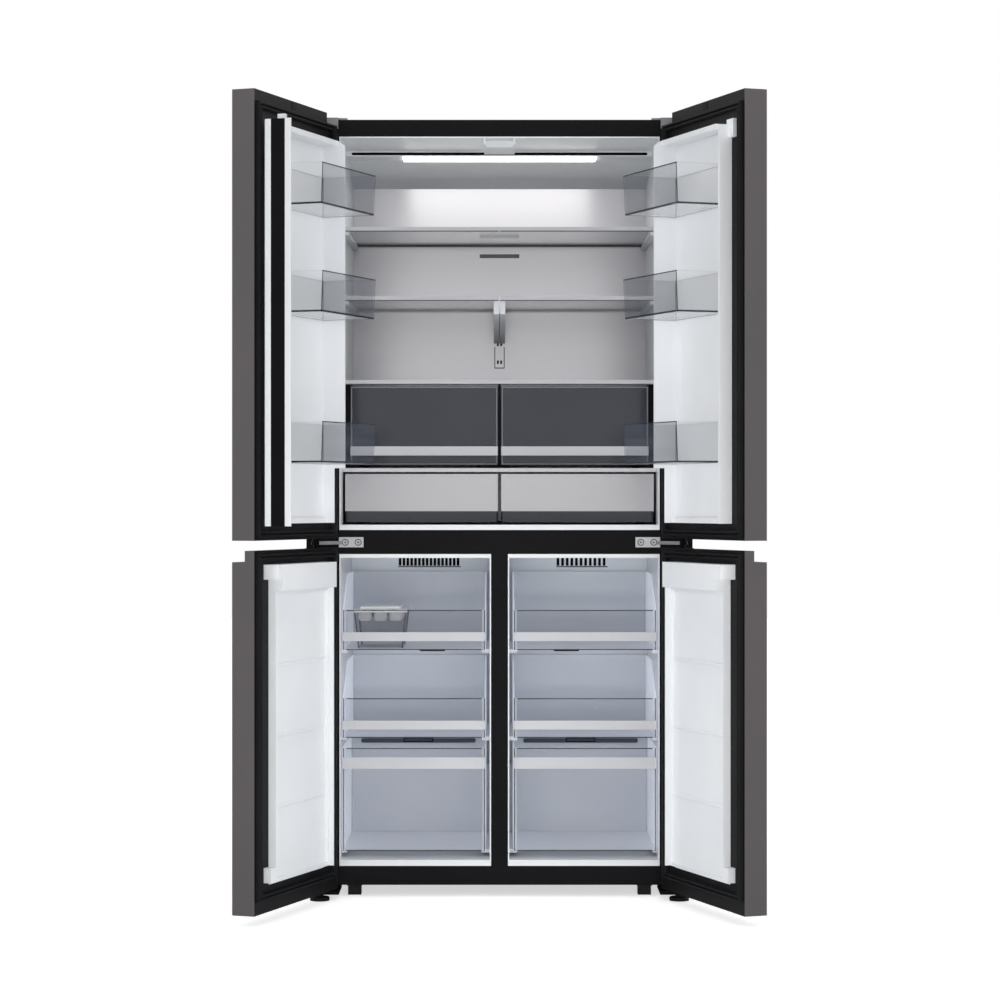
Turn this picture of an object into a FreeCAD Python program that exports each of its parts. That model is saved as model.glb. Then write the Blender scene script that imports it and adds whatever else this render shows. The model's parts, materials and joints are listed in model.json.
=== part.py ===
import FreeCAD, Part
import math
import os

# A four-door refrigerator-freezer with its doors standing open, in millimetres.
# X runs to the right, Y runs into the cabinet and Z runs up. While the pieces are made, the cabinet's
# front face is at Y = 0 and the floor at Z = 0. The last step moves every piece along Y together, so
# that the origin is on the floor under the middle of the whole object.

# Cabinet
CASE_WIDTH = 912.0
CASE_DEPTH = 632.0
CASE_BOTTOM = 28.0
CASE_TOP = 1834.5
CASE_SHEET = 1.2
REAR_SHEET = 1.0
TRAY_SHEET = 2.0
LINER_WALL = 2.5

# Front frame
FRAME_DEPTH = 12.0
SIDE_POST = 78.0
HEAD_BAR = 40.0
SILL_BAR = 45.0
CENTRE_POST = 40.0
MIDDLE_BAR_BOTTOM = 809.0
MIDDLE_BAR = 57.0

# White lips that the liners show inside the front frame
CEILING_LIP = 2.5
POST_LIP = 3.0
FRIDGE_FLOOR_LIP = 12.0
FREEZER_FLOOR_LIP = 14.0
FREEZER_CEILING_LIP = 9.0

# Depths of the compartments
FRIDGE_BACK_WALL = 78.0
CEILING_STEP_Y = 250.0
CEILING_STEP = 11.0
CEILING_SLOPE_Y = 335.0
CEILING_FALL = 46.0
FREEZER_BACK_WALL = 84.0
EVAPORATOR_ROOM = 70.0
STEP_WALL = 55.0
FREEZER_STEP_HEIGHT = 188.0
DUCT_PANEL = 2.0
FREEZER_PANEL = 5.0

# Machine room
ROOM_TOP = 225.0
ROOM_DEPTH = 182.0

# Rear panel
LOUVRE_ROW_COUNT = 9
LOUVRE_COLUMN_COUNT = 3
LOUVRE_PITCH = 15.0
LOUVRE_SLOT = 6.0
LOUVRE_LENGTH = 160.0
LOUVRE_GAP = 60.0
LOUVRE_RISE = 35.0
CONTROL_SIZE = 200.0
CONTROL_RISE = 1.5
CONTROL_INSET = 58.0
CONTROL_DROP = 131.0
GLAND_INSET = 56.0
GLAND_RISE = 102.0
GLAND_RADIUS = 13.0
GLAND_BORE = 5.0
GLAND_LENGTH = 6.0

# Mullion guide, lamp and vents
GUIDE_WIDTH = 74.0
GUIDE_DEPTH = 190.0
GUIDE_THROAT = 58.0
GUIDE_WALL = 4.0
GUIDE_DROP = 15.0
GUIDE_FRONT = 5.0
LAMP_INSET = 138.5
LAMP_LENS = 4.0
LAMP_MARGIN = 10.0
SLIT_WIDTH = 102.0
SLIT_HEIGHT = 10.0
SLIT_DROP = 37.0
GRILLE_SLOT = 7.0
GRILLE_HEIGHT = 20.0
GRILLE_DROP = 30.0
LEFT_GRILLE_COUNT = 16
LEFT_GRILLE_INSETS = (119.5, 76.0)
RIGHT_GRILLE_COUNT = 11
RIGHT_GRILLE_INSETS = (101.5, 122.0)
LOW_VENT_INSET = 147.0
LOW_VENT_WIDTH = 64.0
LOW_VENT_HEIGHT = 8.0

# Shelves, pantry and crispers, stacked up from the fridge floor
SHELF_SIDE_GAP = 3.0
SHELF_FRONT_Y = 130.0
SHELF_TRIM_DEPTH = 12.0
SHELF_TRIM = 9.0
GLASS = 4.0
GLASS_REAR_GAP = 14.0
LEDGE = 12.0
TRACK_WIDTH = 22.0
TRACK_SHEET = 5.0
TRACK_FOOT = 51.0
TRACK_HEAD = 4.0
TRACK_SLOT = 4.8
TRACK_SLOT_GAP = 1.7
TRACK_SLOT_HEIGHT = 9.0
TRACK_SLOT_COUNT = 3
BRACKET_GAP = 1.0
BRACKET_WIDTH = 13.0
BRACKET_TIP = 36.0
BRACKET_ROOT = 83.0
PANTRY_FRONT_Y = 85.0
PANTRY_LIFT = 6.0
PANTRY_HEIGHT = 115.0
PANTRY_STRIP = 26.0
PANTRY_COVER_GAP = 5.0
PANTRY_COVER = 9.0
PANTRY_COVER_LIP = 15.0
PANTRY_LID_ROOM = 10.0
CRISPER_LIFT = 8.0
CRISPER_HEIGHT = 190.0
CRISPER_BAND_RISE = 23.0
CRISPER_BAND = 22.0
CRISPER_CORNER = 5.0
CRISPER_COVER_GAP = 6.0
SHELF_SPACE_COUNT = 3
HALF_SHELF_LIFT = 40.0 / 3
FULL_SHELF_SAG = 25.0 / 3
DRAWER_REAR_GAP = 24.0
CENTRE_GAP = 4.0
CRISPER_RAIL = 16.5
PANTRY_SIDE_GAP = 6.5
RAIL_LEDGE = 22.0
RAIL_GAP = 1.0
CENTRE_LEDGE = 24.0
FACE_PLATE = 4.0

# Freezer drawers: bottom, front top and back top of each, and the foot of its trim bar, above the
# freezer floor
FREEZER_FRONT_Y = 25.0
FREEZER_SIDE_GAP = 2.5
FREEZER_INNER_GAP = 9.5
TOP_DRAWER = (494.0, 589.0, 669.0, 515.5)
MIDDLE_DRAWER = (286.0, 380.0, 458.0, 306.0)
BOTTOM_DRAWER = (18.0, 262.0, 262.0, 213.0)
TRIM_BAR = 21.0
BOTTOM_TRIM_BAR = 27.0
FREEZER_DRAWER_GAP = 13.0
TUB_WALL = 3.0
TUB_CORNER = 10.0
TRIM_INSET = 2.0
DIP_RUN = 18.0
DIP_SLOPE = 185.0
RUNNER = 12.0
RUNNER_FACE = 9.0
RUNNER_SETBACK = 40.0

# Ice box
ICE_LENGTH = 190.0
ICE_WIDTH = 126.0
ICE_HEIGHT = 85.0
ICE_WALL = 2.0
ICE_SIDE_GAP = 26.0
ICE_TRAY = 5.0
ICE_CUP_COUNT = 3
ICE_CUP_DEPTH = 22.0
ICE_CUP_MARGIN = 8.0
ICE_LID = 9.0
ICE_LID_INSET = 14.0

# Doors
DOOR_THICKNESS = 55.0
DOOR_GAP = 10.0
DOOR_SPLIT = 3.0
DOOR_TOP_RISE = 1.5
DOOR_BOTTOM_DROP = 2.0
DOOR_PARTING_RISE = 27.0
DOOR_PARTING_GAP = 22.0
OPEN_ANGLE = 110.0
PIVOT_FROM_SIDE = 25.0
PIVOT_FROM_INNER = 45.0
SKIN_SHEET = 1.0
DOOR_EDGE = 4.0
RIM_SHEET = 3.0
HINGE_NOTCH_WIDTH = 60.0
HINGE_NOTCH = 23.0
PULL_DEPTH = 32.0
PULL_HEIGHT = 25.0
PULL_FLOOR = 20.0

# Gaskets: how far each run lies in from the door's edges
GASKET_WIDTH = 16.0
GASKET_HINGE_INSET = 26.0
GASKET_FREE_INSET = 8.0
GASKET_TOP_INSET = 25.0
GASKET_PARTING_INSET = 6.0
GASKET_BOTTOM_INSET = 29.0
SEAL_CLEARANCE = 0.3

# Door liners, whose raised parts enter the cabinet's openings
LINER_RISE = 3.0
ENTRY_CLEARANCE = 6.0
LINER_TOP_GAP = 27.0
DYKE = 4.0
DYKE_HEIGHT = 58.0
DYKE_CORNER = 12.0
LOW_DYKE_HEIGHT = 31.0
FREE_DYKE_TOP = 8.0
FREE_DYKE_HEIGHT = 30.0
FREE_DYKE_SLOPE = 5.5
UPPER_TAB = 25.0
UPPER_TAB_HEIGHT = 9.0
UPPER_TAB_LENGTH = 40.0
UPPER_TAB_RISE = 11.0
TOP_DYKE = 12.0
TOP_DYKE_HEIGHT = 40.0
DYKE_FOOT_RISE = 132.0
LOWER_PANEL_HEIGHT = 18.0
LOWER_BAND = 58.0
LOWER_BAND_HEIGHT = 36.0
LOWER_DYKE_HEIGHT = 29.5
LOWER_FREE_GAP = 27.0
LOWER_TAB = 25.0
LOWER_TAB_LENGTH = 33.0
POCKET_BORDER = 8.0
POCKET_DEPTH = 9.0
POCKET_STEP = 3.0
POCKET_SECTIONS = 4

# Door bins
BIN_GAP = 1.0
BIN_END_GAP = 3.5
BIN_REACH = 127.0
BIN_HEIGHT = 91.0
BIN_BACK_HEIGHT = 58.0
BIN_WALL = 2.6
BIN_CORNER = 4.0
LOW_BIN_RISE = 141.0
TOP_BIN_DROP = 203.0
MIDDLE_BIN_LIFT = 47.0

# Flip mullion, given as it lies across the gap between two closed doors
MULLION_WIDTH = 63.0
MULLION_THICKNESS = 25.7
MULLION_END_GAP = 1.0
MULLION_TOP_GAP = 23.0
MULLION_AXLE_INSET = 4.5
MULLION_EDGE = 2.0
MULLION_TAPER = 12.0
MULLION_NOSE = 13.7
MULLION_NOSE_GAP = 27.3
MULLION_PLATE = 33.5
MULLION_PLATE_SHEET = 1.0
MULLION_GUIDE = (18.0, 10.0, 11.0)
KNUCKLE = 22.0
KNUCKLE_RADIUS = 9.0
KNUCKLE_GAP = 1.0
KNUCKLE_FRONT_WALL = 3.2
KNUCKLE_PIN = 3.0
KNUCKLE_PIN_LENGTH = 8.0
KNUCKLE_INSET = 70.0

# Hinges
PIN_RADIUS = 4.5
PIN_LENGTH = 13.0
RUNNING_FIT = 0.05
HINGE_PLATE = 4.0
HINGE_ARM = 8.0
HINGE_EYE = 9.5
HINGE_GRIP = 95.0
HINGE_REACH = 81.0
HINGE_DROP_FACE = 8.7
HINGE_DROP_WIDTH = 60.0
MIDDLE_PLATE = 24.0
MIDDLE_PLATE_SHEET = 3.0
MIDDLE_PLATE_INSET = 135.0
MIDDLE_PLATE_WIDTH = 58.0
MIDDLE_PLATE_RISE = 1.0
MIDDLE_SCREWS = (12.5, 43.0)
HINGE_COLLAR = 7.0
BOTTOM_ARM_GAP = 4.0
BOTTOM_HINGE_GRIP = 60.0
SCREW_HEAD = 6.5
SCREW_HEAD_HEIGHT = 2.5
SCREW_SHANK = 2.4
SCREW_HOLE = 2.5

# Feet and rollers
FOOT_RADIUS = 23.0
FOOT_PAD = 9.0
FOOT_STUD = 3.5
FOOT_COLLAR = 9.0
FOOT_COLLAR_GAP = 0.5
FOOT_OFFSET = 10.5
INNER_FOOT = 36.0
INNER_FOOT_INSET = 112.0
INNER_FOOT_Y = 48.0
INNER_FOOT_STEP = 2.5
INNER_FOOT_FLANGE = 6.0
ROLLER_RADIUS = 14.0
ROLLER_WIDTH = 24.0
ROLLER_INSET = 48.0
ROLLER_REAR_GAP = 72.0
ROLLER_EAR = 3.0
ROLLER_EAR_WIDTH = 18.0
ROLLER_EAR_FOOT = 6.0
ROLLER_SIDE_GAP = 1.0
ROLLER_PIN = 3.0

# Cooling machinery
FAN_PIN = 3.0
FAN_HUB = 16.0
FAN_HUB_LENGTH = 24.0
FAN_HUB_END = 3.0
FAN_STANDOFF = 1.2
FAN_BLADES = 5
FAN_BLADE = 2.4
FAN_BLADE_CHORD = 30.0
FAN_PITCH = 35.0
FAN_BOSS = 20.0
FAN_BOSS_LENGTH = 12.0
FAN_LIFT = 20.0
FAN_POST_X = -40.0
FAN_POST_WIDTH = 30.0
FAN_POST_SHEET = 16.0
EVAPORATOR_FAN_DROP = 140.0
CONDENSER_FAN_RADIUS = 58.0
EVAPORATOR_FAN_RADIUS = 55.0
COMPRESSOR_RADIUS = 70.0
COMPRESSOR_HEIGHT = 140.0
COMPRESSOR_INSET = 178.0
COMPRESSOR_PLATE = 3.0
MOUNT_RADIUS = 9.0
MOUNT_HEIGHT = 8.0
CONDENSER_INSET = 48.0
CONDENSER_LENGTH = 160.0
CONDENSER_HEIGHT = 140.0
CONDENSER_FIN_COUNT = 14
CONDENSER_TUBE_COUNT = 5
EVAPORATOR_INSET = 148.0
EVAPORATOR_HEIGHT = 250.0
EVAPORATOR_GAP = 8.0
EVAPORATOR_FIN_COUNT = 22
EVAPORATOR_TUBE_COUNT = 6
FIN = 1.5
FIN_TUBE = 4.0

SEAT = 0.3

# Places worked out from the sizes above
HALF_WIDTH = CASE_WIDTH / 2
IN_CASE_X = HALF_WIDTH - CASE_SHEET
FRAME_OPEN_X = HALF_WIDTH - SIDE_POST
CLEAR_X = FRAME_OPEN_X - LINER_WALL
POST_X = CENTRE_POST / 2
FREEZER_INNER_X = POST_X + POST_LIP
MIDDLE_BAR_TOP = MIDDLE_BAR_BOTTOM + MIDDLE_BAR
HEAD_BOTTOM = CASE_TOP - HEAD_BAR
SILL_TOP = CASE_BOTTOM + SILL_BAR
FRIDGE_FLOOR = MIDDLE_BAR_TOP + FRIDGE_FLOOR_LIP
FRIDGE_CEILING = HEAD_BOTTOM - CEILING_LIP
FREEZER_FLOOR = SILL_TOP + FREEZER_FLOOR_LIP
FREEZER_CEILING = MIDDLE_BAR_BOTTOM - FREEZER_CEILING_LIP
FREEZER_STEP_Z = FREEZER_FLOOR + FREEZER_STEP_HEIGHT
REAR_Y = CASE_DEPTH - REAR_SHEET
TRAY_TOP = CASE_BOTTOM + TRAY_SHEET
FRIDGE_DEPTH = CASE_DEPTH - FRIDGE_BACK_WALL
FREEZER_DEPTH = CASE_DEPTH - FREEZER_BACK_WALL
FREEZER_DUCT_Y = FREEZER_DEPTH - EVAPORATOR_ROOM
ROOM_FRONT = CASE_DEPTH - ROOM_DEPTH
FREEZER_STEP_Y = ROOM_FRONT - STEP_WALL
ROOM_MIDDLE = (ROOM_FRONT + REAR_Y) / 2
PANEL_Y = FRIDGE_DEPTH - DUCT_PANEL

PANTRY_BOTTOM = FRIDGE_FLOOR + PANTRY_LIFT
PANTRY_TOP = PANTRY_BOTTOM + PANTRY_HEIGHT
PANTRY_COVER_BOTTOM = PANTRY_TOP + PANTRY_COVER_GAP
PANTRY_COVER_TOP = PANTRY_COVER_BOTTOM + PANTRY_COVER
CRISPER_BOTTOM = PANTRY_COVER_TOP + CRISPER_LIFT
CRISPER_TOP = CRISPER_BOTTOM + CRISPER_HEIGHT
COVER_TOP = CRISPER_TOP + CRISPER_COVER_GAP + SHELF_TRIM
SHELF_PITCH = (FRIDGE_CEILING - COVER_TOP) / SHELF_SPACE_COUNT
HALF_SHELF_TOP = COVER_TOP + SHELF_PITCH + HALF_SHELF_LIFT
FULL_SHELF_TOP = COVER_TOP + 2 * SHELF_PITCH - FULL_SHELF_SAG
TRACK_TOP = HALF_SHELF_TOP - SHELF_TRIM
TRACK_BOTTOM = COVER_TOP + TRACK_FOOT
TRACK_SLOT_PITCH = (TRACK_TOP - TRACK_BOTTOM - TRACK_HEAD) / TRACK_SLOT_COUNT
INNER_FOOT_X = HALF_WIDTH - INNER_FOOT_INSET
ROLLER_X = CLEAR_X - ROLLER_INSET
SHELF_X = CLEAR_X - SHELF_SIDE_GAP
GLASS_FRONT = SHELF_FRONT_Y + SHELF_TRIM_DEPTH
GLASS_REAR = PANEL_Y - GLASS_REAR_GAP
DRAWER_REAR = PANEL_Y - DRAWER_REAR_GAP
CRISPER_X = CLEAR_X - CRISPER_RAIL
PANTRY_X = CLEAR_X - PANTRY_SIDE_GAP

MIDDLE_PLATE_INNER = HALF_WIDTH - MIDDLE_PLATE_INSET
DOOR_HINGE_X = -HALF_WIDTH
DOOR_FREE_X = -DOOR_SPLIT / 2
DOOR_INNER_Y = -DOOR_GAP
DOOR_OUTER_Y = DOOR_INNER_Y - DOOR_THICKNESS
RIM_Y = DOOR_INNER_Y - RIM_SHEET
CORE_Y = DOOR_OUTER_Y + SKIN_SHEET
PIVOT_X = DOOR_HINGE_X + PIVOT_FROM_SIDE
PIVOT_Y = DOOR_INNER_Y - PIVOT_FROM_INNER
PARTING_Z = MIDDLE_BAR_BOTTOM + DOOR_PARTING_RISE
MIDDLE_PLATE_Z = PARTING_Z + MIDDLE_PLATE_RISE
UPPER_BOTTOM = PARTING_Z + DOOR_PARTING_GAP / 2
UPPER_TOP = CASE_TOP + DOOR_TOP_RISE
LOWER_BOTTOM = CASE_BOTTOM - DOOR_BOTTOM_DROP
LOWER_TOP = PARTING_Z - DOOR_PARTING_GAP / 2
NOTCH_FLOOR = UPPER_TOP - HINGE_NOTCH
NOTCH_X = DOOR_HINGE_X + HINGE_NOTCH_WIDTH
PULL_Z = LOWER_TOP - PULL_HEIGHT
PULL_BACK_Y = DOOR_OUTER_Y + PULL_DEPTH
LINER_FACE_Y = DOOR_INNER_Y + LINER_RISE

MULLION_X = MULLION_WIDTH / 2
MULLION_FRONT_Y = SEAL_CLEARANCE
MULLION_AXLE_X = -MULLION_X + MULLION_AXLE_INSET
MULLION_AXLE_Y = MULLION_FRONT_Y + MULLION_NOSE
MULLION_BOTTOM = FRIDGE_FLOOR + MULLION_END_GAP
MULLION_TOP = FRIDGE_CEILING - MULLION_TOP_GAP
KNUCKLE_BASES = (MULLION_BOTTOM + KNUCKLE_INSET, MULLION_TOP - KNUCKLE_INSET - KNUCKLE)

V = FreeCAD.Vector
ALONG_X = V(1, 0, 0)
ALONG_Y = V(0, 1, 0)
UP = V(0, 0, 1)
ORIGIN = V(0, 0, 0)
nodes = {}


def add(name, *solids):
    """Keep a named piece, made of one solid or of a group of separate solids."""
    nodes[name] = solids[0] if len(solids) == 1 else Part.makeCompound(list(solids))


def block(x0, x1, y0, y1, z0, z1):
    return Part.makeBox(x1 - x0, y1 - y0, z1 - z0, V(x0, y0, z0))


def rod(x, y, z, radius, length, axis=UP):
    return Part.makeCylinder(radius, length, V(x, y, z), axis)


def side_prism(points, x0, x1):
    """A (y, z) outline pushed along X."""
    corners = [V(x0, y, z) for y, z in points]
    face = Part.Face(Part.makePolygon(corners + corners[:1]))
    return face.extrude(V(x1 - x0, 0, 0))


def plan_prism(points, z0, z1):
    """An (x, y) outline pushed along Z."""
    corners = [V(x, y, z0) for x, y in points]
    face = Part.Face(Part.makePolygon(corners + corners[:1]))
    return face.extrude(V(0, 0, z1 - z0))


def fused(*solids):
    return solids[0].multiFuse(list(solids[1:])).removeSplitter()


def mirrored(shape):
    return shape.mirror(ORIGIN, ALONG_X)


def pair(shape):
    return shape, mirrored(shape)


def round_upright_edges(shape, radius):
    edges = [e for e in shape.Edges if abs(e.tangentAt(e.FirstParameter).z) > 0.999]
    return shape.makeFillet(radius, edges)


def round_front_edges(shape, radius, y, places):
    """Round the upright edges that lie at this depth and at one of these places across."""
    edges = []
    for edge in shape.Edges:
        upright = abs(edge.tangentAt(edge.FirstParameter).z) > 0.999
        point = edge.CenterOfMass
        if upright and abs(point.y - y) < 0.01 and min(abs(point.x - x) for x in places) < 0.01:
            edges.append(edge)
    return shape.makeFillet(radius, edges)


def tub(x0, x1, y0, y1, z0, z1, wall, corner):
    """An open-topped box with rounded upright corners."""
    outside = round_upright_edges(block(x0, x1, y0, y1, z0, z1), corner)
    hollow = block(x0 + wall, x1 - wall, y0 + wall, y1 - wall, z0 + wall, z1 + wall)
    return outside.cut(round_upright_edges(hollow, corner - wall))


# Cabinet shell


def fridge_outline(grow):
    """The fridge compartment seen from the side, grown by a wall on every side but the front."""
    ceiling = FRIDGE_CEILING + grow
    back_ceiling = ceiling - CEILING_STEP - CEILING_FALL
    return [
        (0, FRIDGE_FLOOR - grow),
        (0, ceiling),
        (CEILING_STEP_Y + grow, ceiling),
        (CEILING_STEP_Y + grow, ceiling - CEILING_STEP),
        (CEILING_SLOPE_Y + grow, ceiling - CEILING_STEP),
        (FRIDGE_DEPTH + grow, back_ceiling),
        (FRIDGE_DEPTH + grow, FRIDGE_FLOOR - grow),
    ]


def freezer_outline(grow):
    """One freezer compartment seen from the side, with the step over the machine room."""
    return [
        (0, FREEZER_FLOOR - grow),
        (0, FREEZER_CEILING + grow),
        (FREEZER_DUCT_Y + grow, FREEZER_CEILING + grow),
        (FREEZER_DUCT_Y + grow, FREEZER_STEP_Z - grow),
        (FREEZER_STEP_Y + grow, FREEZER_STEP_Z - grow),
        (FREEZER_STEP_Y + grow, FREEZER_FLOOR - grow),
    ]


def make_case():
    outside = block(-HALF_WIDTH, HALF_WIDTH, 0, REAR_Y, CASE_BOTTOM, CASE_TOP)
    inside = block(-IN_CASE_X, IN_CASE_X, 0, REAR_Y, CASE_BOTTOM, CASE_TOP - CASE_SHEET)
    add("outer_case", outside.cut(inside))


def make_rear_panel():
    sheet = block(-IN_CASE_X, IN_CASE_X, REAR_Y, CASE_DEPTH, ROOM_TOP, CASE_TOP - CASE_SHEET)
    cover = block(-IN_CASE_X, IN_CASE_X, REAR_Y, CASE_DEPTH, CASE_BOTTOM, ROOM_TOP)
    slots = []
    column_pitch = LOUVRE_LENGTH + LOUVRE_GAP
    first_x = -(LOUVRE_COLUMN_COUNT * column_pitch - LOUVRE_GAP) / 2
    for row in range(LOUVRE_ROW_COUNT):
        z = CASE_BOTTOM + LOUVRE_RISE + row * LOUVRE_PITCH
        for column in range(LOUVRE_COLUMN_COUNT):
            x = first_x + column * column_pitch
            slots.append(block(x, x + LOUVRE_LENGTH, REAR_Y, CASE_DEPTH, z, z + LOUVRE_SLOT))
    cover = cover.cut(Part.makeCompound(slots))
    control_x1 = CLEAR_X - CONTROL_INSET
    control_z1 = CASE_TOP - CONTROL_DROP
    control = block(control_x1 - CONTROL_SIZE, control_x1, CASE_DEPTH, CASE_DEPTH + CONTROL_RISE,
                    control_z1 - CONTROL_SIZE, control_z1)
    gland_x = -HALF_WIDTH + GLAND_INSET
    gland_z = CASE_BOTTOM + GLAND_RISE
    gland = rod(gland_x, CASE_DEPTH, gland_z, GLAND_RADIUS, GLAND_LENGTH, ALONG_Y)
    gland = gland.cut(rod(gland_x, CASE_DEPTH, gland_z, GLAND_BORE, GLAND_LENGTH, ALONG_Y))
    add("rear_panel", sheet, cover, control, gland)


def make_foam():
    """Insulation between case and liners, as one slab for each wall."""
    wall_x = CLEAR_X + LINER_WALL
    front = FRAME_DEPTH
    top = CASE_TOP - CASE_SHEET
    step_back = FREEZER_STEP_Y + LINER_WALL
    step_under = FREEZER_STEP_Z - LINER_WALL
    deck_bottom = FREEZER_CEILING + LINER_WALL
    deck_top = FRIDGE_FLOOR - LINER_WALL
    ceiling_y = CEILING_STEP_Y + LINER_WALL
    slope_y = CEILING_SLOPE_Y + LINER_WALL
    back_y = FRIDGE_DEPTH + LINER_WALL
    ceiling = FRIDGE_CEILING + LINER_WALL
    low_ceiling = ceiling - CEILING_STEP
    over_slope = [(ceiling_y, top), (back_y, top), (back_y, low_ceiling - CEILING_FALL),
                  (slope_y, low_ceiling), (ceiling_y, low_ceiling)]
    add(
        "cabinet_foam",
        *pair(block(-IN_CASE_X, -wall_x, front, REAR_Y, TRAY_TOP, top)),
        block(-wall_x, wall_x, front, ceiling_y, ceiling, top),
        side_prism(over_slope, -wall_x, wall_x),
        block(-wall_x, wall_x, back_y, REAR_Y, deck_top, top),
        block(-wall_x, wall_x, front, REAR_Y, deck_bottom, deck_top),
        block(-wall_x, wall_x, FREEZER_DEPTH + LINER_WALL, REAR_Y, step_under, deck_bottom),
        block(-wall_x, wall_x, step_back, REAR_Y, ROOM_TOP, step_under),
        block(-wall_x, wall_x, step_back, ROOM_FRONT, TRAY_TOP, ROOM_TOP),
        block(-wall_x, wall_x, front, step_back, TRAY_TOP, FREEZER_FLOOR - LINER_WALL),
        block(-(FREEZER_INNER_X - LINER_WALL), FREEZER_INNER_X - LINER_WALL, front,
              FREEZER_STEP_Y, FREEZER_FLOOR - LINER_WALL, deck_bottom),
        block(-(FREEZER_INNER_X - LINER_WALL), FREEZER_INNER_X - LINER_WALL, FREEZER_STEP_Y,
              FREEZER_DUCT_Y - LINER_WALL, FREEZER_STEP_Z, deck_bottom),
    )


def shelf_ledges(top):
    """A moulded ledge on each side wall, whose top carries a glass shelf."""
    ledge = block(-CLEAR_X - LINER_WALL / 2, -CLEAR_X + LEDGE, GLASS_FRONT, GLASS_REAR, top - LEDGE, top)
    return pair(ledge)


def glass_bottom(shelf_top):
    return shelf_top - SHELF_TRIM / 2 - GLASS / 2


def make_fridge_liner():
    wall_x = CLEAR_X + LINER_WALL
    shell = side_prism(fridge_outline(LINER_WALL), -wall_x, wall_x)
    flange = block(-FRAME_OPEN_X, FRAME_OPEN_X, 0, LINER_WALL, MIDDLE_BAR_TOP, HEAD_BOTTOM)
    cavity = side_prism(fridge_outline(0), -CLEAR_X, CLEAR_X)
    shell = fused(shell, flange).cut(cavity)
    ledges = []
    for top in (HALF_SHELF_TOP, FULL_SHELF_TOP):
        ledges.extend(shelf_ledges(glass_bottom(top)))
    guide_x = GUIDE_WIDTH / 2
    throat_x = guide_x - GUIDE_WALL
    guide = block(-guide_x, guide_x, GUIDE_FRONT, GUIDE_DEPTH, FRIDGE_CEILING - GUIDE_DROP,
                  FRIDGE_CEILING + LINER_WALL / 2)
    throat = block(-throat_x, throat_x, GUIDE_FRONT, GUIDE_THROAT, FRIDGE_CEILING - GUIDE_DROP, FRIDGE_CEILING)
    add("fridge_liner", fused(shell, guide.cut(throat), *ledges))


def freezer_runners():
    """Ledges on both side walls of the left freezer, one pair under each drawer."""
    ledges = []
    inner_runner = RUNNER + FREEZER_INNER_GAP - FREEZER_SIDE_GAP
    front = FREEZER_FRONT_Y + RUNNER_SETBACK
    drawers = ((TOP_DRAWER, FREEZER_DUCT_Y), (MIDDLE_DRAWER, FREEZER_DUCT_Y),
               (BOTTOM_DRAWER, FREEZER_STEP_Y))
    for drawer, back in drawers:
        top = FREEZER_FLOOR + drawer[0] - SEAT
        for x0, x1 in ((-CLEAR_X - LINER_WALL / 2, -CLEAR_X + RUNNER),
                       (-FREEZER_INNER_X - inner_runner, -FREEZER_INNER_X + LINER_WALL / 2)):
            ledges.append(block(x0, x1, front, back, top - RUNNER_FACE, top))
    return ledges


def make_freezer_liner():
    wall_x = CLEAR_X + LINER_WALL
    shell = side_prism(freezer_outline(LINER_WALL), -wall_x, -FREEZER_INNER_X + LINER_WALL)
    flange = block(-FRAME_OPEN_X, -POST_X, 0, LINER_WALL, SILL_TOP, MIDDLE_BAR_BOTTOM)
    cavity = side_prism(freezer_outline(0), -CLEAR_X, -FREEZER_INNER_X)
    ledges = Part.makeCompound(freezer_runners())
    chamber_shell = block(-wall_x, wall_x, FREEZER_DUCT_Y - LINER_WALL, FREEZER_DEPTH + LINER_WALL,
                          FREEZER_STEP_Z - LINER_WALL, FREEZER_CEILING + LINER_WALL)
    chamber = block(-CLEAR_X, CLEAR_X, FREEZER_DUCT_Y, FREEZER_DEPTH, FREEZER_STEP_Z, FREEZER_CEILING)
    shells = fused(chamber_shell, *pair(shell), *pair(flange))
    liner = shells.cut(Part.makeCompound([cavity, mirrored(cavity), chamber]))
    all_ledges = ledges.Solids + mirrored(ledges).Solids
    add("freezer_liner", fused(liner, *all_ledges))


def make_front_frame():
    """Black bars round the three openings: head, middle, sill, side posts and centre post."""
    top = CASE_TOP - CASE_SHEET
    head = block(-IN_CASE_X, IN_CASE_X, 0, FRAME_DEPTH, HEAD_BOTTOM, top)
    middle = block(-FRAME_OPEN_X, FRAME_OPEN_X, 0, FRAME_DEPTH, MIDDLE_BAR_BOTTOM, MIDDLE_BAR_TOP)
    sill = block(-IN_CASE_X, IN_CASE_X, 0, FRAME_DEPTH, CASE_BOTTOM, SILL_TOP)
    post = block(-IN_CASE_X, -FRAME_OPEN_X, 0, FRAME_DEPTH, SILL_TOP, HEAD_BOTTOM)
    centre = block(-POST_X, POST_X, 0, FRAME_DEPTH, SILL_TOP, MIDDLE_BAR_BOTTOM)
    for x in middle_screw_places():
        hole = rod(x, 0, MIDDLE_PLATE_Z, SCREW_HOLE, FRAME_DEPTH, ALONG_Y)
        middle = middle.cut(Part.makeCompound(pair(hole)))
    add("front_frame", head, middle, sill, *pair(post), centre)


# Fridge fittings


def make_fridge_duct_panel():
    top = FRIDGE_CEILING - CEILING_STEP - CEILING_FALL
    panel = block(-CLEAR_X + SEAT, CLEAR_X - SEAT, PANEL_Y, FRIDGE_DEPTH, FRIDGE_FLOOR, top)
    slit_z = FULL_SHELF_TOP - SLIT_DROP
    slit = block(-SLIT_WIDTH / 2, SLIT_WIDTH / 2, PANEL_Y, FRIDGE_DEPTH, slit_z, slit_z + SLIT_HEIGHT)
    add("fridge_duct_panel", panel.cut(slit))


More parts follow.
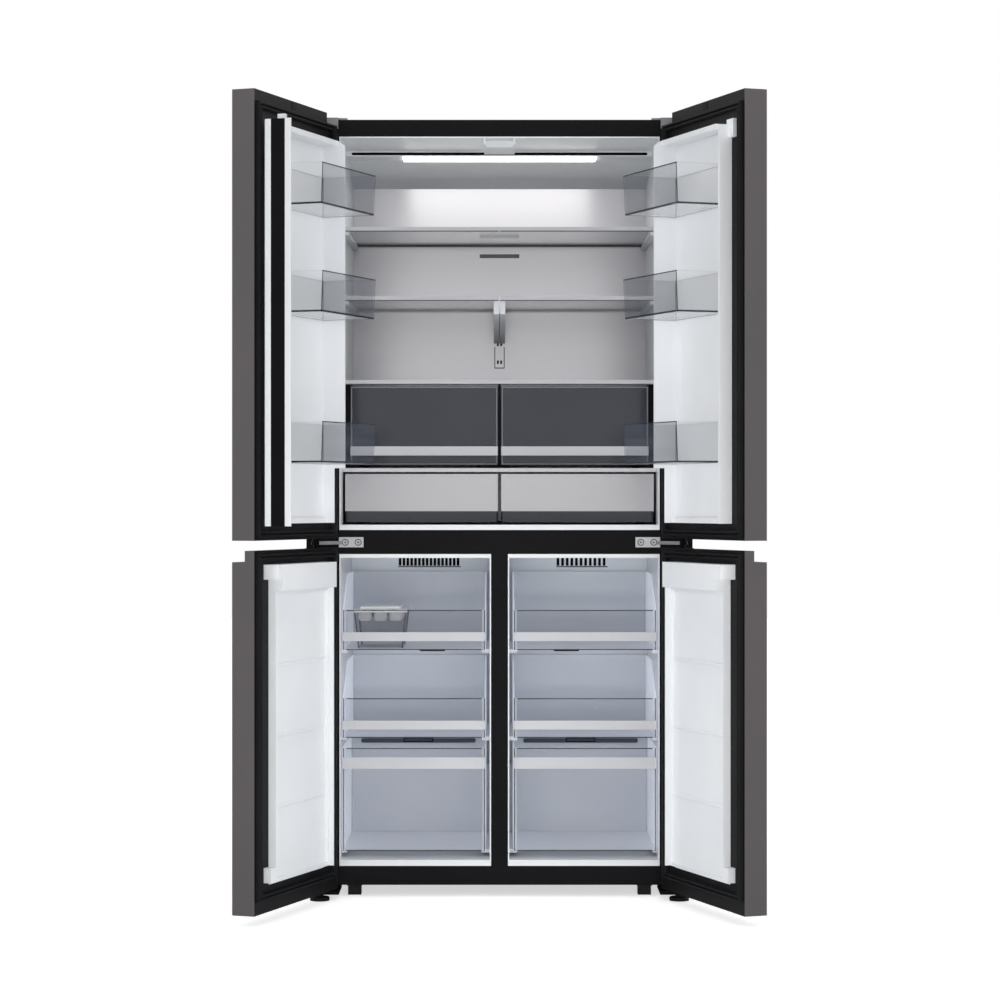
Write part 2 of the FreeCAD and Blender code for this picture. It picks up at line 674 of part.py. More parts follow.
def make_lamp_lens():
    lens_x = CLEAR_X - LAMP_INSET
    ceiling = FRIDGE_CEILING - CEILING_STEP
    lens = block(-lens_x, lens_x, CEILING_STEP_Y + LAMP_MARGIN, CEILING_SLOPE_Y - LAMP_MARGIN / 2,
                 ceiling - LAMP_LENS, ceiling)
    add("lamp_lens", lens)


def make_shelves():
    def pane(x0, x1, shelf_top):
        z = glass_bottom(shelf_top)
        return block(x0, x1, GLASS_FRONT, GLASS_REAR, z, z + GLASS)

    def front_trim(x0, x1, shelf_top):
        return block(x0, x1, SHELF_FRONT_Y, GLASS_FRONT, shelf_top - SHELF_TRIM, shelf_top)

    def rear_trim(x0, x1, shelf_top):
        return block(x0, x1, GLASS_REAR, GLASS_REAR + SHELF_TRIM_DEPTH, shelf_top - SHELF_TRIM, shelf_top)

    spans = [
        (-SHELF_X, SHELF_X, COVER_TOP),
        (-SHELF_X, -CENTRE_GAP / 2, HALF_SHELF_TOP),
        (CENTRE_GAP / 2, SHELF_X, HALF_SHELF_TOP),
        (-SHELF_X, SHELF_X, FULL_SHELF_TOP),
    ]
    add("glass_shelves", *[pane(*span) for span in spans])
    fittings = [front_trim(*span) for span in spans] + [rear_trim(*span) for span in spans]

    under_glass = glass_bottom(HALF_SHELF_TOP)
    track_y = PANEL_Y - TRACK_SHEET
    track = block(-TRACK_WIDTH / 2, TRACK_WIDTH / 2, track_y, PANEL_Y, TRACK_BOTTOM, TRACK_TOP)
    slots = []
    for row in range(TRACK_SLOT_COUNT):
        z = TRACK_BOTTOM + TRACK_SLOT_HEIGHT + row * TRACK_SLOT_PITCH
        slots.extend(pair(block(TRACK_SLOT_GAP, TRACK_SLOT_GAP + TRACK_SLOT, track_y, PANEL_Y,
                                z, z + TRACK_SLOT_HEIGHT)))
    fittings.append(track.cut(Part.makeCompound(slots)))

    web = [
        (GLASS_FRONT, under_glass),
        (GLASS_REAR, under_glass),
        (GLASS_REAR, TRACK_TOP),
        (track_y, TRACK_TOP),
        (track_y, under_glass - BRACKET_ROOT),
        (GLASS_FRONT, under_glass - BRACKET_TIP),
    ]
    fittings.extend(pair(side_prism(web, BRACKET_GAP, BRACKET_GAP + BRACKET_WIDTH)))

    cover = block(-CLEAR_X + SEAT, CLEAR_X - SEAT, PANTRY_FRONT_Y, PANTRY_FRONT_Y + PANTRY_COVER_LIP,
                  PANTRY_COVER_BOTTOM, PANTRY_COVER_TOP)
    deck = block(-CLEAR_X + SEAT, CLEAR_X - SEAT, PANTRY_FRONT_Y + PANTRY_COVER_LIP, PANEL_Y,
                 PANTRY_COVER_TOP - GLASS, PANTRY_COVER_TOP)
    fittings.append(fused(cover, deck))
    add("shelf_fittings", *fittings)


def make_drawer_rails():
    """Black L-shaped rails beside the crispers, T-shaped ones between them, and pantry runners."""
    rear = DRAWER_REAR
    front = SHELF_FRONT_Y + FACE_PLATE
    crisper_seat = CRISPER_BOTTOM - SEAT
    crisper_head = CRISPER_TOP + CRISPER_COVER_GAP
    web = block(-CLEAR_X + SEAT, -CRISPER_X - RAIL_GAP, front, rear, PANTRY_COVER_TOP, crisper_head)
    shelf = block(-CRISPER_X - RAIL_GAP, -CRISPER_X + RAIL_LEDGE, front, rear,
                  PANTRY_COVER_TOP, crisper_seat)
    divider_x = CENTRE_GAP - RAIL_GAP
    divider = block(-divider_x, divider_x, front, rear, PANTRY_COVER_TOP, crisper_head)
    divider_foot = block(-CENTRE_LEDGE, -divider_x, front, rear, PANTRY_COVER_TOP, crisper_seat)
    pantry_front = PANTRY_FRONT_Y + FACE_PLATE
    pantry_seat = PANTRY_BOTTOM - SEAT
    runner = block(-CLEAR_X + SEAT, -PANTRY_X + RAIL_LEDGE, pantry_front, rear, FRIDGE_FLOOR, pantry_seat)
    centre_runner = block(-CENTRE_LEDGE, CENTRE_LEDGE, pantry_front, rear, FRIDGE_FLOOR, pantry_seat)
    add("drawer_rails", *pair(web), *pair(shelf), divider, *pair(divider_foot), *pair(runner),
        centre_runner)


def make_crispers():
    bin_body = tub(-CRISPER_X, -CENTRE_GAP, SHELF_FRONT_Y, DRAWER_REAR, CRISPER_BOTTOM, CRISPER_TOP,
                   TUB_WALL, CRISPER_CORNER)
    band_z = CRISPER_BOTTOM + CRISPER_BAND_RISE
    band = block(-CRISPER_X, -CENTRE_GAP, SHELF_FRONT_Y - FACE_PLATE,
                 SHELF_FRONT_Y, band_z, band_z + CRISPER_BAND)
    add("left_crisper", bin_body, band)
    add("right_crisper", mirrored(bin_body), mirrored(band))


def make_pantry_drawers():
    front = PANTRY_FRONT_Y + FACE_PLATE
    body = tub(-PANTRY_X, -CENTRE_GAP, front, DRAWER_REAR, PANTRY_BOTTOM, PANTRY_TOP - PANTRY_LID_ROOM,
               TUB_WALL, TUB_WALL * 2)
    face = block(-PANTRY_X, -CENTRE_GAP, PANTRY_FRONT_Y, front, PANTRY_BOTTOM + PANTRY_STRIP, PANTRY_TOP)
    add("left_pantry_drawer", body, face)
    add("right_pantry_drawer", mirrored(body), mirrored(face))


# Freezer fittings


def freezer_drawer(levels, back, bar):
    """A clear tub, lower at its front, and the trim bar across its face."""
    bottom, front_top, back_top, trim_foot = (FREEZER_FLOOR + level for level in levels)
    x0 = -CLEAR_X + FREEZER_SIDE_GAP
    x1 = -FREEZER_INNER_X - FREEZER_INNER_GAP
    body = tub(x0, x1, FREEZER_FRONT_Y, back - FREEZER_DRAWER_GAP, bottom, back_top, TUB_WALL, TUB_CORNER)
    if back_top > front_top:
        dip = [
            (FREEZER_FRONT_Y - DIP_RUN, front_top),
            (FREEZER_FRONT_Y + DIP_RUN, front_top),
            (FREEZER_FRONT_Y + DIP_RUN + DIP_SLOPE, back_top),
            (FREEZER_FRONT_Y + DIP_RUN + DIP_SLOPE, back_top + TUB_WALL),
            (FREEZER_FRONT_Y - DIP_RUN, back_top + TUB_WALL),
        ]
        body = body.cut(side_prism(dip, x0 - TUB_WALL, x1 + TUB_WALL))
    trim = block(x0 + TRIM_INSET, x1 - TRIM_INSET, FREEZER_FRONT_Y - FACE_PLATE, FREEZER_FRONT_Y,
                 trim_foot, trim_foot + bar)
    return body, trim


def make_freezer_drawers():
    drawers = {
        "top": (TOP_DRAWER, FREEZER_DUCT_Y, TRIM_BAR),
        "middle": (MIDDLE_DRAWER, FREEZER_DUCT_Y, TRIM_BAR),
        "bottom": (BOTTOM_DRAWER, FREEZER_STEP_Y, BOTTOM_TRIM_BAR),
    }
    for level, (sizes, back, bar) in drawers.items():
        body, trim = freezer_drawer(sizes, back, bar)
        add("left_freezer_drawer_" + level, body, trim)
        add("right_freezer_drawer_" + level, mirrored(body), mirrored(trim))


def make_ice_box():
    """A clear bin in the top left drawer, a tray of cups on its rim, and a lid."""
    x0 = -CLEAR_X + FREEZER_SIDE_GAP + ICE_SIDE_GAP
    y0 = FREEZER_FRONT_Y + ICE_SIDE_GAP
    z0 = FREEZER_FLOOR + TOP_DRAWER[0] + TUB_WALL
    ice_bin = tub(x0, x0 + ICE_WIDTH, y0, y0 + ICE_LENGTH, z0, z0 + ICE_HEIGHT, ICE_WALL, TUB_CORNER / 2)
    tray_z = z0 + ICE_HEIGHT
    pitch = (ICE_WIDTH - 2 * ICE_CUP_MARGIN) / ICE_CUP_COUNT
    tray = block(x0, x0 + ICE_WIDTH, y0, y0 + ICE_LENGTH, tray_z, tray_z + ICE_TRAY)
    lumps = []
    for cup in range(ICE_CUP_COUNT):
        left = x0 + ICE_CUP_MARGIN + cup * pitch + ICE_WALL
        right = left + pitch - 2 * ICE_WALL
        lumps.append(plan_prism([(left, y0 + ICE_CUP_MARGIN), (right, y0 + ICE_CUP_MARGIN),
                                 (right, y0 + ICE_LENGTH - ICE_CUP_MARGIN),
                                 (left, y0 + ICE_LENGTH - ICE_CUP_MARGIN)],
                                tray_z - ICE_CUP_DEPTH, tray_z))
    lid = block(x0 + ICE_LID_INSET, x0 + ICE_WIDTH - ICE_LID_INSET,
                y0 + ICE_LID_INSET, y0 + ICE_LENGTH - ICE_LID_INSET,
                tray_z + ICE_TRAY, tray_z + ICE_TRAY + ICE_LID)
    add("ice_box", ice_bin, fused(tray, *lumps), lid)


def make_freezer_duct_panel():
    plate = block(-CLEAR_X + SEAT, CLEAR_X - SEAT, FREEZER_DUCT_Y, FREEZER_DUCT_Y + FREEZER_PANEL,
                  FREEZER_STEP_Z, FREEZER_CEILING - SEAT)
    slot_z = FREEZER_CEILING - GRILLE_DROP
    slots = []
    left_outer, left_inner = LEFT_GRILLE_INSETS
    right_outer, right_inner = RIGHT_GRILLE_INSETS
    grilles = ((-CLEAR_X + left_outer, -FREEZER_INNER_X - left_inner, LEFT_GRILLE_COUNT),
               (FREEZER_INNER_X + right_inner, CLEAR_X - right_outer, RIGHT_GRILLE_COUNT))
    for first, last, count in grilles:
        pitch = (last - first) / count
        for number in range(count):
            x = first + number * pitch
            slots.append((x, x + GRILLE_SLOT, slot_z, slot_z + GRILLE_HEIGHT))
    for drawer in (MIDDLE_DRAWER, BOTTOM_DRAWER):
        z = FREEZER_FLOOR + drawer[2] + LOW_VENT_HEIGHT
        for side in (-1, 1):
            middle = side * (FREEZER_INNER_X + LOW_VENT_INSET)
            slots.append((middle - LOW_VENT_WIDTH / 2, middle + LOW_VENT_WIDTH / 2, z, z + LOW_VENT_HEIGHT))
    panel_rear = FREEZER_DUCT_Y + FREEZER_PANEL
    cuts = [block(x0, x1, FREEZER_DUCT_Y, panel_rear, z0, z1) for x0, x1, z0, z1 in slots]
    boss_y = FREEZER_DUCT_Y + FREEZER_PANEL
    fan_z = FREEZER_CEILING - EVAPORATOR_FAN_DROP
    boss = rod(0, boss_y, fan_z, FAN_BOSS, FAN_BOSS_LENGTH, ALONG_Y)
    pin_y = boss_y + FAN_BOSS_LENGTH
    pin = rod(0, pin_y, fan_z, FAN_PIN, FAN_HUB_LENGTH - FAN_HUB_END, ALONG_Y)
    add("freezer_duct_panel", fused(plate.cut(Part.makeCompound(cuts)), boss, pin))
    fan = axial_fan(EVAPORATOR_FAN_RADIUS)
    fan.rotate(ORIGIN, UP, 90)
    fan.translate(V(0, pin_y + FAN_STANDOFF, fan_z))
    add("evaporator_fan", fan)


# Cooling machinery


def axial_fan(radius):
    """A fan whose hub starts at the origin and runs along +X, with a blind bore for its pin."""
    hub = rod(0, 0, 0, FAN_HUB, FAN_HUB_LENGTH, ALONG_X)
    blades = []
    for number in range(FAN_BLADES):
        blade = block(-FAN_BLADE / 2, FAN_BLADE / 2, -FAN_BLADE_CHORD / 2, FAN_BLADE_CHORD / 2,
                      FAN_HUB * 0.8, radius)
        blade.rotate(ORIGIN, UP, FAN_PITCH)
        blade.translate(V(FAN_HUB_LENGTH / 2, 0, 0))
        blade.rotate(ORIGIN, ALONG_X, number * 360.0 / FAN_BLADES)
        blades.append(blade)
    bore = rod(0, 0, 0, FAN_PIN + RUNNING_FIT, FAN_HUB_LENGTH - FAN_HUB_END, ALONG_X)
    return fused(hub, *blades).cut(bore)


def fin_pack(x0, x1, y0, y1, z0, z1, fins, tube_rows):
    """Upright fins strung on tubes that run along X."""
    pitch = (x1 - x0 - FIN) / (fins - 1)
    plates = [block(x0 + n * pitch, x0 + n * pitch + FIN, y0, y1, z0, z1) for n in range(fins)]
    tubes = []
    for row in range(tube_rows):
        z = z0 + (row + 0.5) * (z1 - z0) / tube_rows
        tubes.append(rod(x0, (y0 + y1) / 2, z, FIN_TUBE, x1 - x0, ALONG_X))
    return tubes[0].multiFuse(tubes[1:] + plates)


def make_machinery():
    compressor_x = CLEAR_X - COMPRESSOR_INSET
    plate_z = TRAY_TOP + MOUNT_HEIGHT
    shell = rod(compressor_x, ROOM_MIDDLE, plate_z + COMPRESSOR_PLATE, COMPRESSOR_RADIUS, COMPRESSOR_HEIGHT)
    rims = [e for e in shell.Edges if isinstance(e.Curve, Part.Circle)]
    shell = shell.makeFillet(COMPRESSOR_RADIUS / 3, rims)
    reach = COMPRESSOR_RADIUS + MOUNT_RADIUS
    plate = block(compressor_x - reach, compressor_x + reach, ROOM_MIDDLE - reach, ROOM_MIDDLE + reach,
                  plate_z, plate_z + COMPRESSOR_PLATE)
    mounts = []
    for side_x in (-1, 1):
        for side_y in (-1, 1):
            mounts.append(rod(compressor_x + side_x * COMPRESSOR_RADIUS,
                              ROOM_MIDDLE + side_y * COMPRESSOR_RADIUS, TRAY_TOP,
                              MOUNT_RADIUS, MOUNT_HEIGHT))
    add("compressor", fused(shell, plate), *mounts)

    condenser_x0 = -CLEAR_X + CONDENSER_INSET
    condenser = fin_pack(condenser_x0, condenser_x0 + CONDENSER_LENGTH, ROOM_MIDDLE - COMPRESSOR_RADIUS,
                         ROOM_MIDDLE + COMPRESSOR_RADIUS, TRAY_TOP, TRAY_TOP + CONDENSER_HEIGHT,
                         CONDENSER_FIN_COUNT, CONDENSER_TUBE_COUNT)
    add("condenser", condenser)

    evaporator_x = CLEAR_X - EVAPORATOR_INSET
    coil = fin_pack(-evaporator_x, evaporator_x, FREEZER_DUCT_Y + FREEZER_PANEL + EVAPORATOR_GAP,
                    FREEZER_DEPTH, FREEZER_STEP_Z, FREEZER_STEP_Z + EVAPORATOR_HEIGHT,
                    EVAPORATOR_FIN_COUNT, EVAPORATOR_TUBE_COUNT)
    add("evaporator", coil)


def make_base_tray():
    tray = block(-IN_CASE_X, IN_CASE_X, FRAME_DEPTH, REAR_Y, CASE_BOTTOM, TRAY_TOP)
    fan_z = TRAY_TOP + CONDENSER_FAN_RADIUS + FAN_LIFT
    half_post = FAN_POST_WIDTH / 2
    post = block(FAN_POST_X - FAN_POST_SHEET, FAN_POST_X, ROOM_MIDDLE - half_post, ROOM_MIDDLE + half_post,
                 TRAY_TOP, fan_z + half_post)
    fan_pin = rod(FAN_POST_X, ROOM_MIDDLE, fan_z, FAN_PIN, FAN_HUB_LENGTH - FAN_HUB_END, ALONG_X)

    roller_y = REAR_Y - ROLLER_REAR_GAP
    ear_x = ROLLER_WIDTH / 2 + ROLLER_SIDE_GAP
    ears = []
    rollers = []
    for side in (-1, 1):
        middle = side * ROLLER_X
        sides = [block(x0, x0 + ROLLER_EAR, roller_y - ROLLER_EAR_WIDTH / 2,
                       roller_y + ROLLER_EAR_WIDTH / 2, ROLLER_EAR_FOOT, CASE_BOTTOM)
                 for x0 in (middle - ear_x - ROLLER_EAR, middle + ear_x)]
        axle = rod(middle - ear_x - ROLLER_EAR, roller_y, ROLLER_RADIUS, ROLLER_PIN,
                   2 * (ear_x + ROLLER_EAR), ALONG_X)
        ears.append(fused(axle, *sides))
        wheel = rod(middle - ROLLER_WIDTH / 2, roller_y, ROLLER_RADIUS, ROLLER_RADIUS,
                    ROLLER_WIDTH, ALONG_X)
        bore = rod(middle - ROLLER_WIDTH / 2, roller_y, ROLLER_RADIUS, ROLLER_PIN + RUNNING_FIT,
                   ROLLER_WIDTH, ALONG_X)
        rollers.append(wheel.cut(bore))
    half = INNER_FOOT / 2
    stem_half = half - INNER_FOOT_STEP
    flange_z = CASE_BOTTOM - INNER_FOOT_FLANGE
    flange = block(-INNER_FOOT_X - half, -INNER_FOOT_X + half, INNER_FOOT_Y - half, INNER_FOOT_Y + half,
                   flange_z, CASE_BOTTOM)
    stem = block(-INNER_FOOT_X - stem_half, -INNER_FOOT_X + stem_half, INNER_FOOT_Y - stem_half,
                 INNER_FOOT_Y + stem_half, 0, flange_z)
    add("base_tray", tray, fused(post, fan_pin), *ears, *pair(fused(flange, stem)))
    add("rear_rollers", *rollers)
    fan = axial_fan(CONDENSER_FAN_RADIUS)
    fan.translate(V(FAN_POST_X + FAN_STANDOFF, ROOM_MIDDLE, fan_z))
    add("condenser_fan", fan)


# Doors, modelled closed on the left side


def lower_panel_x():
    """The free-side edge of the lower liner's panel."""
    return -FREEZER_INNER_X - LOWER_FREE_GAP - LOWER_TAB


def rim_window(upper):
    """The window in the door's black frame that its liner fills: x0, x1, z0, z1."""
    x0 = -CLEAR_X + ENTRY_CLEARANCE
    if upper:
        return x0, free_dyke_x(), FRIDGE_FLOOR + ENTRY_CLEARANCE, FRIDGE_CEILING - LINER_TOP_GAP
    return x0, lower_panel_x(), FREEZER_FLOOR, FREEZER_CEILING - ENTRY_CLEARANCE


def gasket_window(upper):
    """The space inside the door's gasket: x0, x1, z0, z1."""
    x0 = DOOR_HINGE_X + GASKET_HINGE_INSET + GASKET_WIDTH
    x1 = DOOR_FREE_X - GASKET_FREE_INSET - GASKET_WIDTH
    if upper:
        bottom, top = UPPER_BOTTOM + GASKET_PARTING_INSET, UPPER_TOP - GASKET_TOP_INSET
    else:
        bottom, top = LOWER_BOTTOM + GASKET_BOTTOM_INSET, LOWER_TOP - GASKET_PARTING_INSET
    return x0, x1, bottom + GASKET_WIDTH, top - GASKET_WIDTH


def door_cutouts(upper):
    """What is cut from the door's skin and caps: the top hinge's notch, or the finger pull."""
    if upper:
        return block(DOOR_HINGE_X, NOTCH_X, DOOR_OUTER_Y, DOOR_INNER_Y, NOTCH_FLOOR, UPPER_TOP)
    return block(NOTCH_X, DOOR_FREE_X, DOOR_OUTER_Y, PULL_BACK_Y, PULL_Z, LOWER_TOP)


def door_skin(upper):
    bottom, top = (UPPER_BOTTOM, UPPER_TOP) if upper else (LOWER_BOTTOM, LOWER_TOP)
    outside = block(DOOR_HINGE_X, DOOR_FREE_X, DOOR_OUTER_Y, DOOR_INNER_Y, bottom, top)
    inside = block(DOOR_HINGE_X + SKIN_SHEET, DOOR_FREE_X - SKIN_SHEET, CORE_Y, DOOR_INNER_Y, bottom, top)
    outside = round_front_edges(outside, DOOR_EDGE, DOOR_OUTER_Y, (DOOR_HINGE_X, DOOR_FREE_X))
    return outside.cut(fit_skin(inside)).cut(door_cutouts(upper))


def fit_skin(shape):
    """Round a core piece's upright edges so that it lies inside the bent skin."""
    return round_front_edges(shape, DOOR_EDGE - SKIN_SHEET, CORE_Y,
                             (DOOR_HINGE_X + SKIN_SHEET, DOOR_FREE_X - SKIN_SHEET))


def core_span(upper):
    """Where the foam core starts and ends in height, between the two caps."""
    x0, x1, z0, z1 = rim_window(upper)
    return (z0, z1) if upper else (z0, PULL_Z - PULL_FLOOR)


def door_foam(upper):
    z0, z1 = core_span(upper)
    return fit_skin(block(DOOR_HINGE_X + SKIN_SHEET, DOOR_FREE_X - SKIN_SHEET, CORE_Y, RIM_Y, z0, z1))


def door_frame(upper):
    """Top and bottom caps with the hinge bores, and the two side strips of the rim."""
    bottom, top = (UPPER_BOTTOM, UPPER_TOP) if upper else (LOWER_BOTTOM, LOWER_TOP)
    x0, x1 = DOOR_HINGE_X + SKIN_SHEET, DOOR_FREE_X - SKIN_SHEET
    window_x0, window_x1, window_z0, window_z1 = rim_window(upper)
    core_z0, core_z1 = core_span(upper)
    bore = PIN_RADIUS + RUNNING_FIT
    depth = PIN_LENGTH + SEAT
    low_cap = fit_skin(block(x0, x1, CORE_Y, DOOR_INNER_Y, bottom, window_z0))
    low_cap = low_cap.cut(rod(PIVOT_X, PIVOT_Y, bottom, bore, depth))
    strips = [block(x0, window_x0, RIM_Y, DOOR_INNER_Y, window_z0, window_z1),
              block(window_x1, x1, RIM_Y, DOOR_INNER_Y, window_z0, window_z1)]
    if upper:
        hinge_seat = fit_skin(block(x0, x1, CORE_Y, DOOR_INNER_Y, window_z1, NOTCH_FLOOR))
        hinge_seat = hinge_seat.cut(rod(PIVOT_X, PIVOT_Y, NOTCH_FLOOR - depth, bore, depth))
        crown = fit_skin(block(NOTCH_X, x1, CORE_Y, DOOR_INNER_Y, NOTCH_FLOOR, top))
        return Part.makeCompound([low_cap, hinge_seat, crown] + strips)
    pull_floor = fit_skin(block(x0, x1, CORE_Y, RIM_Y, core_z1, PULL_Z))
    pull_back = block(x0, x1, PULL_BACK_Y, RIM_Y, PULL_Z, top)
    hinge_seat = fit_skin(block(x0, NOTCH_X, CORE_Y, PULL_BACK_Y, PULL_Z, top))
    hinge_seat = hinge_seat.cut(rod(PIVOT_X, PIVOT_Y, top - depth, bore, depth))
    top_strip = block(x0, x1, RIM_Y, DOOR_INNER_Y, window_z1, top)
    return Part.makeCompound([low_cap, pull_floor, pull_back, hinge_seat, top_strip] + strips)


def door_gasket(upper):
    x0, x1, z0, z1 = gasket_window(upper)
    face_y = -SEAL_CLEARANCE
    outer = block(x0 - GASKET_WIDTH, x1 + GASKET_WIDTH, DOOR_INNER_Y, face_y,
                  z0 - GASKET_WIDTH, z1 + GASKET_WIDTH)
    hollow = block(x0, x1, DOOR_INNER_Y, face_y, z0, z1)
    return outer.cut(hollow)


def knuckles():
    """Two lugs on the left liner that carry the flip mullion, each with its pin."""
    lugs = []
    for base in KNUCKLE_BASES:
        arm = block(free_dyke_x() - FREE_DYKE_TOP / 2, MULLION_AXLE_X, MULLION_AXLE_Y - KNUCKLE_RADIUS,
                    MULLION_AXLE_Y + KNUCKLE_RADIUS, base, base + KNUCKLE)
        eye = rod(MULLION_AXLE_X, MULLION_AXLE_Y, base, KNUCKLE_RADIUS, KNUCKLE)
        pin = rod(MULLION_AXLE_X, MULLION_AXLE_Y, base - KNUCKLE_PIN_LENGTH, KNUCKLE_PIN,
                  KNUCKLE + 2 * KNUCKLE_PIN_LENGTH)
        lugs.extend([arm, eye, pin])
    return lugs


def free_dyke_x():
    """The free-side face of the liner's dyke, clear of the mullion as it turns."""
    return MULLION_AXLE_X - MULLION_NOSE - MULLION_NOSE_GAP


def upper_liner(with_knuckles):
    dyke_x, free_x, low, high = rim_window(True)
    crest = DOOR_INNER_Y + DYKE_HEIGHT
    foot = FRIDGE_FLOOR + DYKE_FOOT_RISE
    base = block(dyke_x, free_x, RIM_Y, LINER_FACE_Y, low, high)
    top_crest = DOOR_INNER_Y + TOP_DYKE_HEIGHT
    low_crest = DOOR_INNER_Y + LOW_DYKE_HEIGHT
    hinge_dyke = side_prism([(RIM_Y, low), (low_crest, low), (low_crest, foot), (crest, foot),
                             (crest, high - DYKE_CORNER), (top_crest, high), (RIM_Y, high)],
                            dyke_x, dyke_x + DYKE)
    free_crest = DOOR_INNER_Y + FREE_DYKE_HEIGHT
    free_top = free_x - FREE_DYKE_TOP
    free_dyke = plan_prism([(free_top - FREE_DYKE_SLOPE, RIM_Y), (free_x, RIM_Y), (free_x, free_crest),
                            (free_top, free_crest), (free_top - FREE_DYKE_SLOPE, LINER_FACE_Y)], low, high)
    top_dyke = block(dyke_x, free_x, RIM_Y, top_crest, high - TOP_DYKE, high)
    bottom_dyke = block(dyke_x, free_x, RIM_Y, DOOR_INNER_Y + DOOR_GAP, low, low + TOP_DYKE)
    pieces = [hinge_dyke, free_dyke, top_dyke, bottom_dyke]
    if with_knuckles:
        pieces.extend(knuckles())
    else:
        tab_z1 = high + UPPER_TAB_RISE
        pieces.append(block(free_x - FREE_DYKE_TOP, free_x + UPPER_TAB, DOOR_INNER_Y,
                            DOOR_INNER_Y + UPPER_TAB_HEIGHT, tab_z1 - UPPER_TAB_LENGTH, tab_z1))
    return fused(base, *pieces)


def lower_liner():
    x0, x1, z0, high = rim_window(False)
    low = z0 + ENTRY_CLEARANCE
    panel_y = DOOR_INNER_Y + LOWER_PANEL_HEIGHT
    band_y = DOOR_INNER_Y + LOWER_BAND_HEIGHT
    base = block(x0, x1, RIM_Y, LINER_FACE_Y, z0, high)
    panel = block(x0, x1, RIM_Y, panel_y, low, high)
    band = block(x0, x1, RIM_Y, band_y, high - LOWER_BAND, high)
    tabs = [block(x1 - POCKET_BORDER, x1 + LOWER_TAB, DOOR_INNER_Y, crest, z, z + LOWER_TAB_LENGTH)
            for z, crest in ((high - LOWER_TAB_LENGTH, band_y), (low, panel_y))]
    dyke = block(x0, x0 + DYKE, RIM_Y, DOOR_INNER_Y + LOWER_DYKE_HEIGHT, low, high)
    liner = fused(base, panel, band, dyke, *tabs)
    pocket_x0, pocket_x1 = x0 + POCKET_BORDER, x1 - POCKET_BORDER
    pocket_low, pocket_high = low + POCKET_BORDER, high - LOWER_BAND - POCKET_BORDER
    pitch = (pocket_high - pocket_low) / POCKET_SECTIONS
    pockets = []
    for number in range(POCKET_SECTIONS):
        z = pocket_low + number * pitch
        sloped = [(panel_y, z), (panel_y, z + pitch), (panel_y - POCKET_DEPTH, z + pitch),
                  (panel_y - POCKET_DEPTH + POCKET_STEP, z)]
        pockets.append(side_prism(sloped, pocket_x0, pocket_x1))
    return liner.cut(fused(*pockets))


def door_bins():
    x0 = -CLEAR_X + ENTRY_CLEARANCE + DYKE + BIN_GAP
    x1 = free_dyke_x() - FREE_DYKE_TOP - FREE_DYKE_SLOPE - BIN_END_GAP
    y0 = LINER_FACE_Y + SEAT
    y1 = DOOR_INNER_Y + BIN_REACH
    bins = []
    low = FRIDGE_FLOOR + LOW_BIN_RISE
    high = FRIDGE_CEILING - TOP_BIN_DROP
    for z0 in (low, (low + high) / 2 + MIDDLE_BIN_LIFT, high):
        body = tub(x0, x1, y0, y1, z0, z0 + BIN_HEIGHT, BIN_WALL, BIN_CORNER)
        back = block(x0 + BIN_CORNER, x1 - BIN_CORNER, y0, y0 + BIN_WALL,
                     z0 + BIN_BACK_HEIGHT, z0 + BIN_HEIGHT)
        bins.append(body.cut(back))
    return Part.makeCompound(bins)


def mullion_closed():
    """The bar and its plate as they lie across the gap between the closed doors."""
    y0, y1 = MULLION_FRONT_Y, MULLION_FRONT_Y + MULLION_THICKNESS
    bar = plan_prism([(MULLION_AXLE_X, y0), (MULLION_X, y0), (MULLION_X, y0 + MULLION_EDGE),
                      (MULLION_X - MULLION_TAPER, y1), (MULLION_AXLE_X, y1)], MULLION_BOTTOM, MULLION_TOP)
    nose = rod(MULLION_AXLE_X, MULLION_AXLE_Y, MULLION_BOTTOM, MULLION_NOSE, MULLION_TOP - MULLION_BOTTOM)
    nose = nose.common(block(-MULLION_X, MULLION_AXLE_X, y0, y1, MULLION_BOTTOM, MULLION_TOP))
    guide_x, guide_y, guide_z = MULLION_GUIDE
    guide = block(-guide_x / 2 + MULLION_AXLE_INSET, guide_x / 2 + MULLION_AXLE_INSET,
                  MULLION_AXLE_Y - guide_y / 2, MULLION_AXLE_Y + guide_y / 2,
                  MULLION_TOP, MULLION_TOP + guide_z)
    bar = fused(bar, nose, guide)
    cuts = []
    for base in KNUCKLE_BASES:
        cuts.append(block(-MULLION_X, MULLION_AXLE_X + KNUCKLE_RADIUS + KNUCKLE_GAP, y0 + KNUCKLE_FRONT_WALL,
                          y1, base - KNUCKLE_GAP, base + KNUCKLE + KNUCKLE_GAP))
        cuts.append(rod(MULLION_AXLE_X, MULLION_AXLE_Y, base - KNUCKLE_PIN_LENGTH - KNUCKLE_GAP,
                        KNUCKLE_PIN + RUNNING_FIT, KNUCKLE + 2 * (KNUCKLE_PIN_LENGTH + KNUCKLE_GAP)))
    half = MULLION_PLATE / 2
    plate = block(-half, half, y0, y0 + MULLION_PLATE_SHEET, MULLION_BOTTOM, MULLION_TOP)
    return bar.cut(Part.makeCompound(cuts + [plate])), plate


def opened(shape):
    return shape.rotated(V(PIVOT_X, PIVOT_Y, 0), UP, -OPEN_ANGLE)


